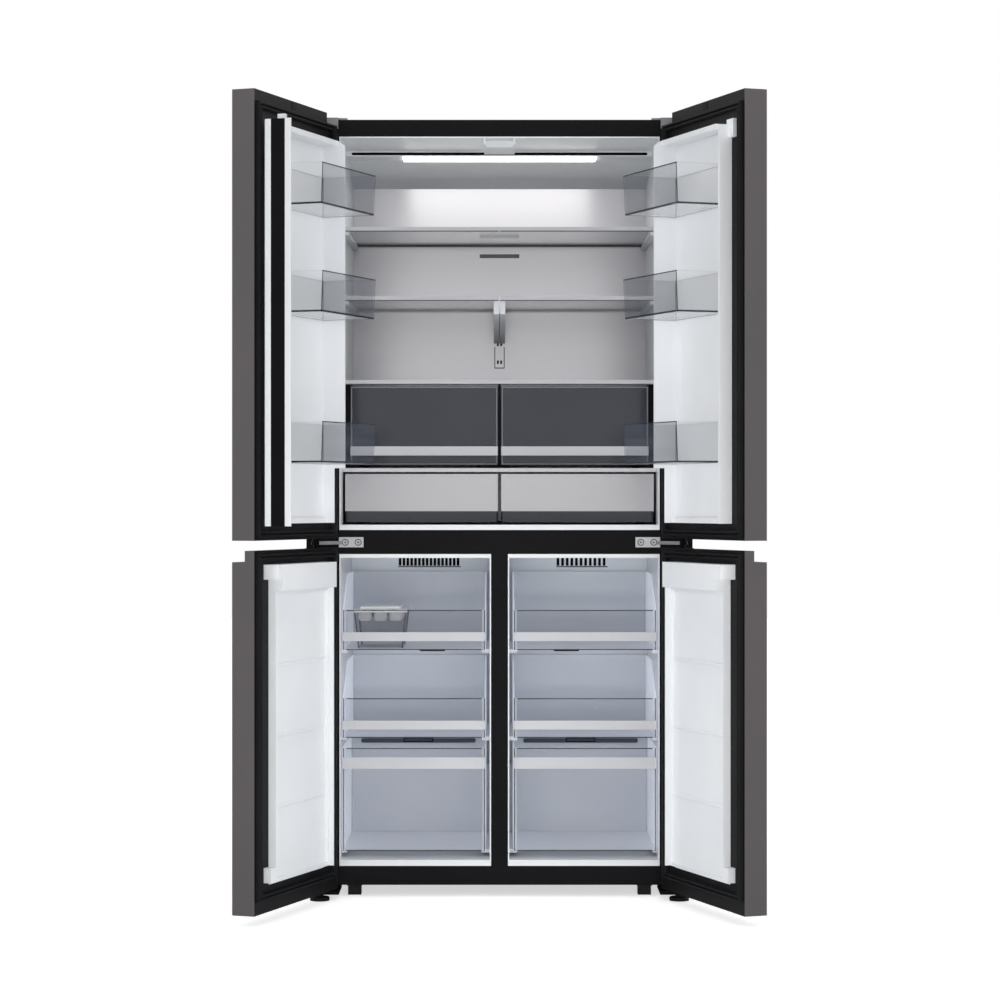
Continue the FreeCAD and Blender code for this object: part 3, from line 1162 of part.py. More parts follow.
def make_doors():
    for level, upper in (("upper", True), ("lower", False)):
        pieces = {
            "skin": door_skin(upper),
            "frame": door_frame(upper),
            "foam": door_foam(upper),
            "gasket": door_gasket(upper),
        }
        for piece, shape in pieces.items():
            add(f"{level}_left_{piece}", opened(shape))
            add(f"{level}_right_{piece}", mirrored(opened(shape)))
    add("upper_left_liner", opened(upper_liner(True)))
    add("upper_right_liner", mirrored(opened(upper_liner(False))))
    add("lower_left_liner", opened(lower_liner()))
    add("lower_right_liner", mirrored(opened(lower_liner())))
    bins = opened(door_bins())
    add("left_door_bins", bins)
    add("right_door_bins", mirrored(bins))
    axle = V(MULLION_AXLE_X, MULLION_AXLE_Y, 0)
    bar, plate = mullion_closed()
    add("mullion_bar", opened(bar.rotated(axle, UP, 90)))
    add("mullion_plate", opened(plate.rotated(axle, UP, 90)))


# Hinges and feet


def middle_screw_places():
    return [-MIDDLE_PLATE_INNER - inset for inset in MIDDLE_SCREWS]


def top_screw_places():
    inner = PIVOT_X - HINGE_EYE + HINGE_REACH
    edge = SCREW_HEAD * 3
    return ((PIVOT_X, HINGE_GRIP - edge), (inner - edge, HINGE_GRIP - edge), (inner - edge, edge))


def make_hinges():
    arm_x0, arm_x1 = PIVOT_X - HINGE_EYE, PIVOT_X + HINGE_EYE
    root_x1 = arm_x0 + HINGE_DROP_WIDTH
    eye_bottom = NOTCH_FLOOR + SEAT
    plate_top = CASE_TOP + HINGE_PLATE
    top_plate = block(arm_x0, arm_x0 + HINGE_REACH, 0, HINGE_GRIP, CASE_TOP, plate_top)
    drop = block(arm_x0, root_x1, -HINGE_DROP_FACE, 0, eye_bottom, plate_top)
    arm = block(arm_x0, arm_x1, PIVOT_Y, -HINGE_DROP_FACE, eye_bottom, plate_top)
    eye = rod(PIVOT_X, PIVOT_Y, eye_bottom, HINGE_EYE, plate_top - eye_bottom)
    pin = rod(PIVOT_X, PIVOT_Y, eye_bottom - SEAT - PIN_LENGTH, PIN_RADIUS, PIN_LENGTH + SEAT * 2)
    holes = [rod(x, y, CASE_TOP, SCREW_HOLE, HINGE_PLATE) for x, y in top_screw_places()]
    top_hinge = fused(top_plate, drop, arm, eye, pin).cut(Part.makeCompound(holes))
    add("top_hinges", *pair(top_hinge))

    plate_x0, plate_x1 = -MIDDLE_PLATE_INNER - MIDDLE_PLATE_WIDTH, -MIDDLE_PLATE_INNER
    half_arm = HINGE_ARM / 2
    plate = block(plate_x0, plate_x1, -MIDDLE_PLATE_SHEET, 0, MIDDLE_PLATE_Z - MIDDLE_PLATE / 2,
                  MIDDLE_PLATE_Z + MIDDLE_PLATE / 2)
    arm_root = -MIDDLE_PLATE_INNER - MIDDLE_SCREWS[1] - SCREW_HEAD - SEAT
    reach = plan_prism([(arm_x1, PIVOT_Y - HINGE_EYE / 2), (arm_root, -MIDDLE_PLATE_SHEET),
                        (plate_x0, -MIDDLE_PLATE_SHEET), (arm_x0, PIVOT_Y)],
                       PARTING_Z - half_arm, PARTING_Z + half_arm)
    middle_eye = rod(PIVOT_X, PIVOT_Y, PARTING_Z - half_arm, HINGE_EYE, HINGE_ARM)
    pin_reach = DOOR_PARTING_GAP / 2 + PIN_LENGTH
    middle_pin = rod(PIVOT_X, PIVOT_Y, PARTING_Z - pin_reach, PIN_RADIUS, 2 * pin_reach)
    middle_collar = rod(PIVOT_X, PIVOT_Y, PARTING_Z, HINGE_COLLAR, DOOR_PARTING_GAP / 2 - SEAT)
    holes = [rod(x, -MIDDLE_PLATE_SHEET, MIDDLE_PLATE_Z, SCREW_HOLE, MIDDLE_PLATE_SHEET, ALONG_Y)
             for x in middle_screw_places()]
    middle_hinge = fused(plate, reach, middle_eye, middle_collar, middle_pin).cut(Part.makeCompound(holes))
    add("middle_hinges", *pair(middle_hinge))

    screws = []
    for x in middle_screw_places():
        head = rod(x, -MIDDLE_PLATE_SHEET - SCREW_HEAD_HEIGHT, MIDDLE_PLATE_Z, SCREW_HEAD,
                   SCREW_HEAD_HEIGHT, ALONG_Y)
        shank = rod(x, -MIDDLE_PLATE_SHEET, MIDDLE_PLATE_Z, SCREW_SHANK,
                    MIDDLE_PLATE_SHEET + FRAME_DEPTH, ALONG_Y)
        screws.extend(pair(fused(head, shank)))
    for x, y in top_screw_places():
        head = rod(x, y, plate_top, SCREW_HEAD, SCREW_HEAD_HEIGHT)
        shank = rod(x, y, CASE_TOP, SCREW_SHANK, HINGE_PLATE)
        screws.extend(pair(fused(head, shank)))
    add("hinge_screws", *screws)

    bracket_top = LOWER_BOTTOM - BOTTOM_ARM_GAP
    bracket_bottom = bracket_top - HINGE_ARM
    foot_x = PIVOT_X + FOOT_OFFSET
    front_plate = block(arm_x0, arm_x0 + HINGE_REACH * 0.8, PIVOT_Y - HINGE_EYE, BOTTOM_HINGE_GRIP,
                        bracket_bottom, bracket_top)
    mount = block(arm_x0, arm_x0 + HINGE_REACH * 0.8, FRAME_DEPTH, BOTTOM_HINGE_GRIP,
                  bracket_bottom, CASE_BOTTOM)
    bottom_pin = rod(PIVOT_X, PIVOT_Y, bracket_bottom, PIN_RADIUS, LOWER_BOTTOM + PIN_LENGTH - bracket_bottom)
    bottom_collar = rod(PIVOT_X, PIVOT_Y, bracket_bottom, HINGE_COLLAR, LOWER_BOTTOM - SEAT - bracket_bottom)
    stud_hole = rod(foot_x, PIVOT_Y, bracket_bottom, FOOT_STUD + RUNNING_FIT, HINGE_ARM)
    bottom_hinge = fused(front_plate, mount, bottom_collar, bottom_pin).cut(stud_hole)
    add("bottom_hinges", *pair(bottom_hinge))

    pad = rod(foot_x, PIVOT_Y, 0, FOOT_RADIUS, FOOT_PAD)
    rim = [e for e in pad.Edges if isinstance(e.Curve, Part.Circle) and e.CenterOfMass.z > FOOT_PAD / 2]
    pad = pad.makeFillet(FOOT_PAD / 3, rim)
    collar = rod(foot_x, PIVOT_Y, FOOT_PAD, FOOT_COLLAR, bracket_bottom - FOOT_COLLAR_GAP - FOOT_PAD)
    stud = rod(foot_x, PIVOT_Y, FOOT_PAD, FOOT_STUD, bracket_top - FOOT_PAD)
    foot = fused(pad, collar, stud)
    add("left_foot", foot)
    add("right_foot", mirrored(foot))


def centre_and_export():
    """Put the origin under the middle of the whole object, and write one file for each piece."""
    os.makedirs("parts", exist_ok=True)
    boxes = [shape.optimalBoundingBox(False, False) for shape in nodes.values()]
    shift = -(min(b.YMin for b in boxes) + max(b.YMax for b in boxes)) / 2
    for name, shape in nodes.items():
        placed = shape.translated(V(0, shift, 0))
        placed.exportStep(f"parts/{name}.step")
    print(f"{len(nodes)} nodes, moved {shift:.4f} mm along Y")
    print(f"height {max(b.ZMax for b in boxes):.2f} mm, width {2 * max(b.XMax for b in boxes):.2f} mm")
    print(f"door pivot at {PIVOT_X:.2f}, {PIVOT_Y + shift:.4f}")


make_case()
make_rear_panel()
make_foam()
make_fridge_liner()
make_freezer_liner()
make_front_frame()
make_fridge_duct_panel()
make_lamp_lens()
make_shelves()
make_drawer_rails()
make_crispers()
make_pantry_drawers()
make_freezer_drawers()
make_ice_box()
make_freezer_duct_panel()
make_machinery()
make_base_tray()
make_doors()
make_hinges()
centre_and_export()
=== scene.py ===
# %% [markdown]
# # A four-door refrigerator-freezer with its doors open
# The solid pieces come from the frame, already in place and in metres: X runs to the right, Y runs
# into the cabinet and Z runs up. This lesson gives every piece its finish, adds the small pieces that
# catch the eye, and then sets up a plain studio. The first step loads the frame and keeps its box.

import json
import math

import bmesh
import bpy
from mathutils import Matrix, Vector


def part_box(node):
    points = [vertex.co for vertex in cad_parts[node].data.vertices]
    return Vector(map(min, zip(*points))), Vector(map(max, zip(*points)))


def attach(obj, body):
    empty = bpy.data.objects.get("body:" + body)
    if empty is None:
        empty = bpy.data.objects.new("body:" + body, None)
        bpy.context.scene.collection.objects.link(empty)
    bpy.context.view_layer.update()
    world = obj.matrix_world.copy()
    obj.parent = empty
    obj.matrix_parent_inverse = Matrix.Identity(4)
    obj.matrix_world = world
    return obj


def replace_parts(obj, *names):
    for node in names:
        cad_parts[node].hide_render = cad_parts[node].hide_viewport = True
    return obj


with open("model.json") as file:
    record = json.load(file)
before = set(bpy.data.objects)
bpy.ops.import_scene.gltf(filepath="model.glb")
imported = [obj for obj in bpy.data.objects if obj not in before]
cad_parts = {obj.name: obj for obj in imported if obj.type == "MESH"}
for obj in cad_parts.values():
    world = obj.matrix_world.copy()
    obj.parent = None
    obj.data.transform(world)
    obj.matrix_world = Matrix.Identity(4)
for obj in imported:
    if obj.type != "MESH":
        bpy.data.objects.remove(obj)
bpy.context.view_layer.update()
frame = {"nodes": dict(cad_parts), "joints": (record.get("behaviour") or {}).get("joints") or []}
nodes = frame["nodes"]
front_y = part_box("front_frame")[0].y
print(len(nodes), "pieces in the frame, cabinet face at y =", round(front_y, 4))

# %% [markdown]
# ## Helpers for a finish
# A finish is one Principled shader and a little noise. A colour picked from a screen is stored with a
# curve, so it is first turned back into plain light. The noise reads Object coordinates, because every
# piece sits at the origin with its place in its mesh, so the pattern is at true scale and stays put.
# Stretching the noise along one axis draws its spots out into the lines of a brushed sheet.

# %% Colour and noise
def shade(red, green, blue):
    """A screen colour from 0 to 255, as the light values that a shader works with."""
    def light(level):
        level = level / 255
        return level / 12.92 if level <= 0.04045 else ((level + 0.055) / 1.055) ** 2.4
    return (light(red), light(green), light(blue), 1.0)


def start_finish(name):
    material = bpy.data.materials.new(name)
    material.use_nodes = True
    return material, material.node_tree, material.node_tree.nodes["Principled BSDF"]


def speckle(tree, scale, stretch=(1, 1, 1), detail=4.0):
    """Noise fixed to the piece, with a larger number along an axis giving finer marks there."""
    place = tree.nodes.new("ShaderNodeTexCoord")
    turn = tree.nodes.new("ShaderNodeMapping")
    noise = tree.nodes.new("ShaderNodeTexNoise")
    turn.inputs["Scale"].default_value = stretch
    noise.inputs["Scale"].default_value = scale
    noise.inputs["Detail"].default_value = detail
    tree.links.new(place.outputs["Object"], turn.inputs["Vector"])
    tree.links.new(turn.outputs["Vector"], noise.inputs["Vector"])
    return noise.outputs["Fac"]


print("noise reads the piece's own place")

# %% [markdown]
# Three small links carry that noise to the shader: a ramp between two near colours, a range of
# roughness, and a bump. Real sheet and moulded plastic differ by only a few percent from place to
# place, so the two ends of each range stay close together.

# %% Tint, gloss and relief
NOISE_LOW, NOISE_HIGH = 0.3, 0.7


def tint(tree, shader, fac, dark, light):
    ramp = tree.nodes.new("ShaderNodeValToRGB")
    ramp.color_ramp.elements[0].position = NOISE_LOW
    ramp.color_ramp.elements[0].color = dark
    ramp.color_ramp.elements[1].position = NOISE_HIGH
    ramp.color_ramp.elements[1].color = light
    tree.links.new(fac, ramp.inputs["Fac"])
    tree.links.new(ramp.outputs["Color"], shader.inputs["Base Color"])


def gloss(tree, shader, fac, smooth, rough):
    span = tree.nodes.new("ShaderNodeMapRange")
    span.inputs["From Min"].default_value = NOISE_LOW
    span.inputs["From Max"].default_value = NOISE_HIGH
    span.inputs["To Min"].default_value = smooth
    span.inputs["To Max"].default_value = rough
    tree.links.new(fac, span.inputs["Value"])
    tree.links.new(span.outputs["Result"], shader.inputs["Roughness"])


def relief(tree, shader, fac, depth, strength):
    bump = tree.nodes.new("ShaderNodeBump")
    bump.inputs["Distance"].default_value = depth
    bump.inputs["Strength"].default_value = strength
    tree.links.new(fac, bump.inputs["Height"])
    tree.links.new(bump.outputs["Normal"], shader.inputs["Normal"])


def dress(material, *names):
    """Give a finish to whole pieces of the frame."""
    for name in names:
        nodes[name].data.materials.clear()
        nodes[name].data.materials.append(material)
    print(material.name, "on", len(names), "pieces")


print("links ready")

# %% [markdown]
# ## Satin metal of the doors and the case
# The door skins are dark steel with a brushed, clear-coated face. Most of what shows is the turned
# edge at the free end of each door. A mostly metallic shader reflects the pale room dimly, and noise
# drawn out along the height gives the brush marks. The case is the same steel with a plainer paint.

# %% Door and case metal
def brushed_dark(name, dark, light, metallic, smooth, rough):
    material, tree, shader = start_finish(name)
    lines = speckle(tree, 900, stretch=(1, 1, 0.012))
    cloud = speckle(tree, 3.0, detail=2.0)
    tint(tree, shader, cloud, dark, light)
    gloss(tree, shader, lines, smooth, rough)
    relief(tree, shader, lines, 0.00005, 0.25)
    shader.inputs["Metallic"].default_value = metallic
    return material


door_metal = brushed_dark("door_satin_metal", shade(94, 91, 92), shade(98, 94, 95), 0.8, 0.36, 0.48)
case_metal = brushed_dark("case_painted_metal", shade(54, 54, 57), shade(60, 60, 63), 0.4, 0.42, 0.54)
dress(door_metal, "upper_left_skin", "upper_right_skin", "lower_left_skin", "lower_right_skin")
dress(case_metal, "outer_case")

# %% [markdown]
# ## Bright brushed steel
# The back of the fridge and the pantry fronts are thin stainless sheet. It is fully metallic, so it
# shows the room and the lamp. The back is also given a lighter colour than the pantry fronts: painted
# light that makes up for the room that the shelves and walls hide from it. Long fine lines in the
# roughness and the bump stand for the brushing, and the turned smear draws the lamp's glow out up and
# down the back.

# %% Stainless sheet
def brushed_bright(name, dark, light, stretch, smooth, rough, smear=0.4, turned=0.0):
    material, tree, shader = start_finish(name)
    lines = speckle(tree, 2400, stretch=stretch)
    tint(tree, shader, lines, dark, light)
    gloss(tree, shader, lines, smooth, rough)
    relief(tree, shader, lines, 0.00002, 0.02)
    shader.inputs["Metallic"].default_value = 1.0
    shader.inputs["Anisotropic"].default_value = smear
    shader.inputs["Anisotropic Rotation"].default_value = turned
    return material


# Painted light: the back's colour is lighter than the pantry steel's, for the reflection it misses.
lightened_back_steel = brushed_bright("back_brushed_steel_painted_light", shade(231, 230, 234), shade(234, 233, 237),
                            (0.002, 1, 1), 0.29, 0.33, smear=0.8, turned=0.25)
pantry_steel = brushed_bright("pantry_brushed_steel", shade(201, 200, 204), shade(205, 204, 207),
                              (0.002, 1, 1), 0.37, 0.41)
hinge_steel = brushed_bright("hinge_zinc_steel", shade(196, 197, 200), shade(208, 209, 211),
                             (1, 1, 1), 0.3, 0.42)
coil_metal = brushed_bright("coil_aluminium", shade(190, 192, 195), shade(206, 207, 209),
                            (1, 1, 0.05), 0.3, 0.45)
dress(lightened_back_steel, "fridge_duct_panel")
dress(hinge_steel, "middle_hinges", "hinge_screws")
dress(coil_metal, "condenser", "evaporator")

# %% [markdown]
# ## Moulded plastic
# Liners, frames, rails and fans are moulded or vacuum-formed plastic. The skin of such a part has a
# fine grain from the mould, so one fine noise gives bump and roughness and one broad noise moves the
# colour a little. One function makes them all, because they differ only in colour and gloss.

# %% Plastics
def moulded(name, dark, light, smooth, rough, grain=1400, depth=0.00003, shine=0.5):
    material, tree, shader = start_finish(name)
    fine = speckle(tree, grain, detail=2.0)
    broad = speckle(tree, 6.0, detail=3.0)
    tint(tree, shader, broad, dark, light)
    gloss(tree, shader, fine, smooth, rough)
    relief(tree, shader, fine, depth, 0.3)
    shader.inputs["Specular IOR Level"].default_value = shine
    return material


white_plastic = moulded("liner_white", shade(229, 231, 234), shade(234, 236, 238), 0.3, 0.38)
# The mullion is the same white plastic as the liners, given a darker white: painted shade that takes back the
# extra light falling on its face.
mullion_white_painted_shade = moulded("mullion_white_painted_shade", shade(208, 210, 212), shade(213, 215, 217), 0.34, 0.42)
pale_plastic = moulded("duct_pale_plastic", shade(227, 231, 236), shade(232, 236, 240), 0.38, 0.48)
black_plastic = moulded("frame_black", shade(17, 17, 19), shade(20, 20, 22), 0.4, 0.5, shine=0.08)
rail_black = moulded("rail_black", shade(12, 12, 14), shade(15, 15, 17), 0.45, 0.55, shine=0.08)
trim_silver = moulded("trim_silver", shade(194, 195, 199), shade(200, 201, 205), 0.28, 0.36)
foot_black = moulded("foot_black", shade(18, 18, 20), shade(23, 23, 25), 0.5, 0.62, shine=0.2)
dress(white_plastic, "fridge_liner", "freezer_liner", "upper_left_liner", "upper_right_liner",
      "lower_left_liner", "lower_right_liner")
dress(mullion_white_painted_shade, "mullion_bar")
dress(pale_plastic, "freezer_duct_panel", "evaporator_fan")
dress(black_plastic, "front_frame", "upper_left_frame", "upper_right_frame", "lower_left_frame",
      "lower_right_frame")
dress(rail_black, "drawer_rails", "condenser_fan")
dress(trim_silver, "shelf_fittings")
dress(foot_black, "left_foot", "right_foot", "rear_rollers")

# %% [markdown]
# ## Rubber, foam and painted iron
# The door seals are soft black rubber with almost no shine. The foam between the sheets is a cream
# rigid foam with open cells, which shows only where a sheet is taken off. The compressor shell, the
# base tray and the plate on the mullion are painted steel.

# %% Dull finishes
seal_rubber = moulded("seal_rubber", shade(20, 20, 22), shade(26, 26, 28), 0.55, 0.7, grain=900, shine=0.1)
foam_cells = moulded("rigid_foam", shade(222, 208, 165), shade(238, 226, 190), 0.85, 0.95, 260, 0.0008)
shell_paint = moulded("compressor_paint", shade(24, 24, 26), shade(30, 30, 32), 0.3, 0.4, 500, 0.0001)
tray_paint = moulded("tray_paint", shade(28, 28, 30), shade(33, 33, 36), 0.42, 0.52, shine=0.2)
hinge_grey = moulded("hinge_grey_paint", shade(128, 128, 131), shade(136, 136, 139), 0.4, 0.5, shine=0.3)
plate_black = moulded("mullion_plate_black", shade(10, 10, 12), shade(13, 13, 15), 0.3, 0.38, shine=0.06)
rear_paint = moulded("rear_sheet_paint", shade(146, 148, 151), shade(149, 151, 154), 0.5, 0.62, 700)
dress(seal_rubber, "upper_left_gasket", "upper_right_gasket", "lower_left_gasket", "lower_right_gasket")
dress(foam_cells, "cabinet_foam", "upper_left_foam", "upper_right_foam", "lower_left_foam",
      "lower_right_foam")
dress(shell_paint, "compressor")
dress(tray_paint, "base_tray")
dress(hinge_grey, "top_hinges")
dress(plate_black, "bottom_hinges")
dress(plate_black, "mullion_plate")
dress(rear_paint, "rear_panel")

# %% [markdown]
# ## Clear and smoky plastic
# The drawers and bins are clear styrene, tinted grey in the crispers. A thin clear wall mostly lets
# light straight through, so a part-open Alpha on the shader gives its tint and keeps its gloss, and
# the pieces behind it stay easy to read. Faint broad noise stands for the flow of the plastic. The
# frosted sides and floors of the freezer drawers get a weak glow, painted light that makes them lighter.

# %% Clear plastics and glass
def clear(name, dark, light, alpha, smooth, rough):
    material, tree, shader = start_finish(name)
    flow = speckle(tree, 5.0, detail=2.0)
    tint(tree, shader, flow, dark, light)
    gloss(tree, shader, flow, smooth, rough)
    shader.inputs["Alpha"].default_value = alpha
    shader.inputs["IOR"].default_value = 1.5
    return material


crisper_smoke = clear("crisper_smoke", shade(57, 59, 67), shade(62, 64, 72), 0.85, 0.08, 0.14)
tub_clear = clear("freezer_tub_clear", shade(234, 238, 245), shade(239, 243, 249), 0.55, 0.14, 0.2)
tub_front = clear("freezer_front_clear", shade(120, 122, 130), shade(128, 130, 138), 0.1, 0.06, 0.1)
tub_side = clear("freezer_side_frosted", shade(236, 239, 245), shade(241, 244, 249), 0.9, 0.3, 0.4)
tub_floor = clear("freezer_floor_frosted", shade(228, 231, 237), shade(233, 236, 241), 0.8, 0.3, 0.4)
# The glow on the frosted sides and floors is painted light; they are no lamp.
TUB_SIDE_PAINTED_GLOW, TUB_FLOOR_PAINTED_GLOW = 0.18, 0.08
for frosted, glow in ((tub_side, TUB_SIDE_PAINTED_GLOW), (tub_floor, TUB_FLOOR_PAINTED_GLOW)):
    frosted_shader = frosted.node_tree.nodes["Principled BSDF"]
    frosted_shader.inputs["Emission Color"].default_value = (0.86, 0.9, 1.0, 1.0)
    frosted_shader.inputs["Emission Strength"].default_value = glow
bin_clear = clear("bin_clear", shade(150, 155, 165), shade(158, 163, 172), 0.03, 0.05, 0.1)
bin_smoke = clear("bin_front_smoke", shade(78, 84, 98), shade(84, 90, 104), 0.2, 0.05, 0.1)
bin_floor = clear("bin_floor_frosted", shade(226, 229, 234), shade(232, 235, 239), 0.35, 0.2, 0.3)
edge_dark = clear("clear_edge_dark", shade(38, 40, 46), shade(48, 50, 56), 0.85, 0.12, 0.2)
# The shelf glass is given a dark grey: a painted reflection of the darker fridge that its underside mirrors.
shelf_glass = clear("shelf_glass", shade(118, 123, 127), shade(124, 129, 133), 0.46, 0.03, 0.06)
dress(crisper_smoke, "left_crisper", "right_crisper", "left_pantry_drawer", "right_pantry_drawer")
dress(tub_clear, "left_freezer_drawer_top", "left_freezer_drawer_middle", "left_freezer_drawer_bottom",
      "right_freezer_drawer_top", "right_freezer_drawer_middle", "right_freezer_drawer_bottom", "ice_box")
dress(bin_clear, "left_door_bins", "right_door_bins")
dress(shelf_glass, "glass_shelves")

# %% [markdown]
# ## The lamp
# A row of small lights sits behind a frosted strip in the ceiling. Emission on the strip itself makes
# it the brightest thing in the fridge and lets the steel behind it pick up its glow. The strength is
# modest, because the studio lights the rest.

# %% Lamp strip
LAMP_GLOW = 6.0


def frosted_lamp():
    material, tree, shader = start_finish("lamp_frosted")
    frost = speckle(tree, 600, detail=2.0)
    tint(tree, shader, frost, shade(244, 246, 248), shade(252, 253, 254))
    gloss(tree, shader, frost, 0.4, 0.55)
    shader.inputs["Emission Color"].default_value = (1.0, 0.98, 0.94, 1.0)
    shader.inputs["Emission Strength"].default_value = LAMP_GLOW
    return material


dress(frosted_lamp(), "lamp_lens")

# %% [markdown]
# ## Second finishes on the drawers and fittings
# Each drawer in the frame is two solids in one piece: a clear tub, and a bar or plate across its face.
# A face of the mesh can carry its own finish, so the faces inside the bar's box get the bar's finish.
# The sides, floors and fronts of the freezer tubs get theirs in the same way. The mesh itself stays as
# it is.

# %% Bars and plates across the drawers
FACE_PLATE = 0.004
TUB_WALL = 0.003
SLACK = 0.0002


def paint_within(name, material, low, high):
    """Give a second finish to the faces of a frame piece whose middles lie in a box."""
    mesh = nodes[name].data
    mesh.materials.append(material)
    painted = 0
    for face in mesh.polygons:
        if all(low[i] - SLACK <= face.center[i] <= high[i] + SLACK for i in range(3)):
            face.material_index = len(mesh.materials) - 1
            painted += 1
    return painted


for side in ("left_", "right_"):
    for level in ("top", "middle", "bottom"):
        drawer = side + "freezer_drawer_" + level
        low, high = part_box(drawer)
        for wall in (low.x, high.x - TUB_WALL):
            wall_low = Vector((wall, low.y + 2 * FACE_PLATE, low.z))
            wall_high = Vector((wall + TUB_WALL, high.y, high.z))
            paint_within(drawer, tub_side, wall_low, wall_high)
        floor_low = Vector((low.x, low.y + 2 * FACE_PLATE, low.z))
        floor_high = Vector((high.x, high.y, low.z + TUB_WALL))
        paint_within(drawer, tub_floor, floor_low, floor_high)
        wall_front = Vector((low.x, low.y + FACE_PLATE, low.z))
        wall_back = Vector((high.x, low.y + FACE_PLATE + TUB_WALL, high.z))
        paint_within(drawer, tub_front, wall_front, wall_back)
        bar_back = Vector((high.x, low.y + FACE_PLATE / 2, high.z))
        print(drawer, paint_within(drawer, trim_silver, low, bar_back))
    low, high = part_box(side + "crisper")
    band_back = Vector((high.x, low.y + FACE_PLATE / 2, high.z))
    print(side, "band", paint_within(side + "crisper", trim_silver, low, band_back))
    low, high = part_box(side + "pantry_drawer")
    plate_back = Vector((high.x, low.y + FACE_PLATE / 2, high.z))
    print(side, "front", paint_within(side + "pantry_drawer", pantry_steel, low, plate_back))

# %% [markdown]
# The rear trim of the full shelf and the outer ends of the middle hinges are darker than the rest of
# their pieces. They get their finish in the same way, from a box drawn round them.

# %% Rear trim and hinge ends
REAR_TRIM_FRONT, REAR_TRIM_BACK = front_y + 0.538, front_y + 0.550
TRIM_DROP, TRIM_LIFT = 0.020, 0.004
rear_trim = moulded("rear_trim_grey", shade(84, 86, 90), shade(90, 92, 96), 0.3, 0.4, shine=0.3)
low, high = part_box("glass_shelves")
trim_low = Vector((low.x, REAR_TRIM_FRONT, high.z - TRIM_DROP))
trim_high = Vector((high.x, REAR_TRIM_BACK, high.z + TRIM_LIFT))
print("rear trim", paint_within("shelf_fittings", rear_trim, trim_low, trim_high))

KNUCKLE_X = 0.414
low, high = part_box("middle_hinges")
print("left knuckle", paint_within("middle_hinges", plate_black, low, Vector((-KNUCKLE_X, high.y, high.z))))
print("right knuckle", paint_within("middle_hinges", plate_black, Vector((KNUCKLE_X, low.y, low.z)), high))

# %% [markdown]
# ## Helpers for new pieces
# Small pieces are worked in a bmesh, much as they would be in edit mode: start from a box or a ring,
# inset and push its faces, and round its edges. The finished mesh keeps its place in the room and
# rides on the body that carries it, so it moves when a door or drawer moves.

# %% Working a shape
def block(work, low, high):
    """A box between two corners, ready to be shaped."""
    low, high = Vector(low), Vector(high)
    made = bmesh.ops.create_cube(work, size=1.0)["verts"]
    bmesh.ops.scale(work, vec=high - low, verts=made)
    bmesh.ops.translate(work, vec=(low + high) / 2, verts=made)
    return made


def edges_of(verts, axis=None):
    """The edges among some vertices, or only those that run along one axis."""
    among = set(verts)
    edges = {edge for vert in verts for edge in vert.link_edges if set(edge.verts) <= among}
    if axis is None:
        return list(edges)
    return [e for e in edges if abs((e.verts[0].co - e.verts[1].co).normalized()[axis]) > 0.99]


def soften(work, edges, radius, segments=2):
    return bmesh.ops.bevel(work, geom=edges, offset=radius, offset_type="OFFSET", affect="EDGES",
                           segments=segments, profile=0.5, material=-1)


def stand(work, name, body, slot, *finishes):
    """Turn the worked shape into a piece that rides on a body."""
    bmesh.ops.recalc_face_normals(work, faces=work.faces)
    mesh = bpy.data.meshes.new(name)
    work.to_mesh(mesh)
    work.free()
    for finish in finishes:
        mesh.materials.append(finish)
    piece = bpy.data.objects.new(name, mesh)
    bpy.context.scene.collection.objects.link(piece)
    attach(piece, body)
    print(name, len(mesh.polygons), "faces on", body)
    return piece


print("modelling helpers ready")

# %% [markdown]
# The doors stand open, so anything on a door would have to be drawn at an angle. It is easier to model
# it on the closed door, square to the cabinet, and then swing it open about the door's own hinge.

# %% Swinging a piece open with its door
hinges = {joint["child"]: joint for joint in frame["joints"]}
DOORS = ("upper_left_door", "upper_right_door", "lower_left_door", "lower_right_door")


def across(door):
    """-1 for a left door and 1 for a right one."""
    return -1 if "left" in door else 1


def swing_open(work, door):
    hinge = hinges[door]
    turn = Matrix.Rotation(math.radians(-hinge["range_deg"][0]), 3, Vector(hinge["axis"]))
    bmesh.ops.rotate(work, cent=Vector(hinge["pos_m"]), matrix=turn, verts=work.verts)


print("doors open by", [-hinges[door]["range_deg"][0] for door in DOORS], "degrees")

# %% [markdown]
# ## Door bins
# Each upper door has three bins of clear styrene. A bin is one box whose top is inset by the wall and
# pushed down to the floor. Clear plastic looks dark along its edges, where light is caught inside it,
# so the rim and the rounded edges carry a darker finish, with a thick bead under the two sides that
# hold the bottles in. The front wall is smoky and the floor is frosted.

# %% One clear bin
BIN_HINGE_END, BIN_FREE_END = 0.3645, 0.085
BIN_BACK, BIN_FRONT = front_y - 0.0067, front_y + 0.117
BIN_FLOORS = (1.019, 1.351, 1.589)
BIN_HEIGHT, BIN_WALL, BIN_BASE = 0.091, 0.0026, 0.003
BEAD, RIM_BEAD = 0.0042, 0.0022
BIN_ROUND, BEAD_ROUND, RIM_ROUND = 0.0016, 0.0008, 0.0005
CLEAR_WALL, DARK_EDGE, SMOKY_FRONT, FROSTED_FLOOR = range(4)


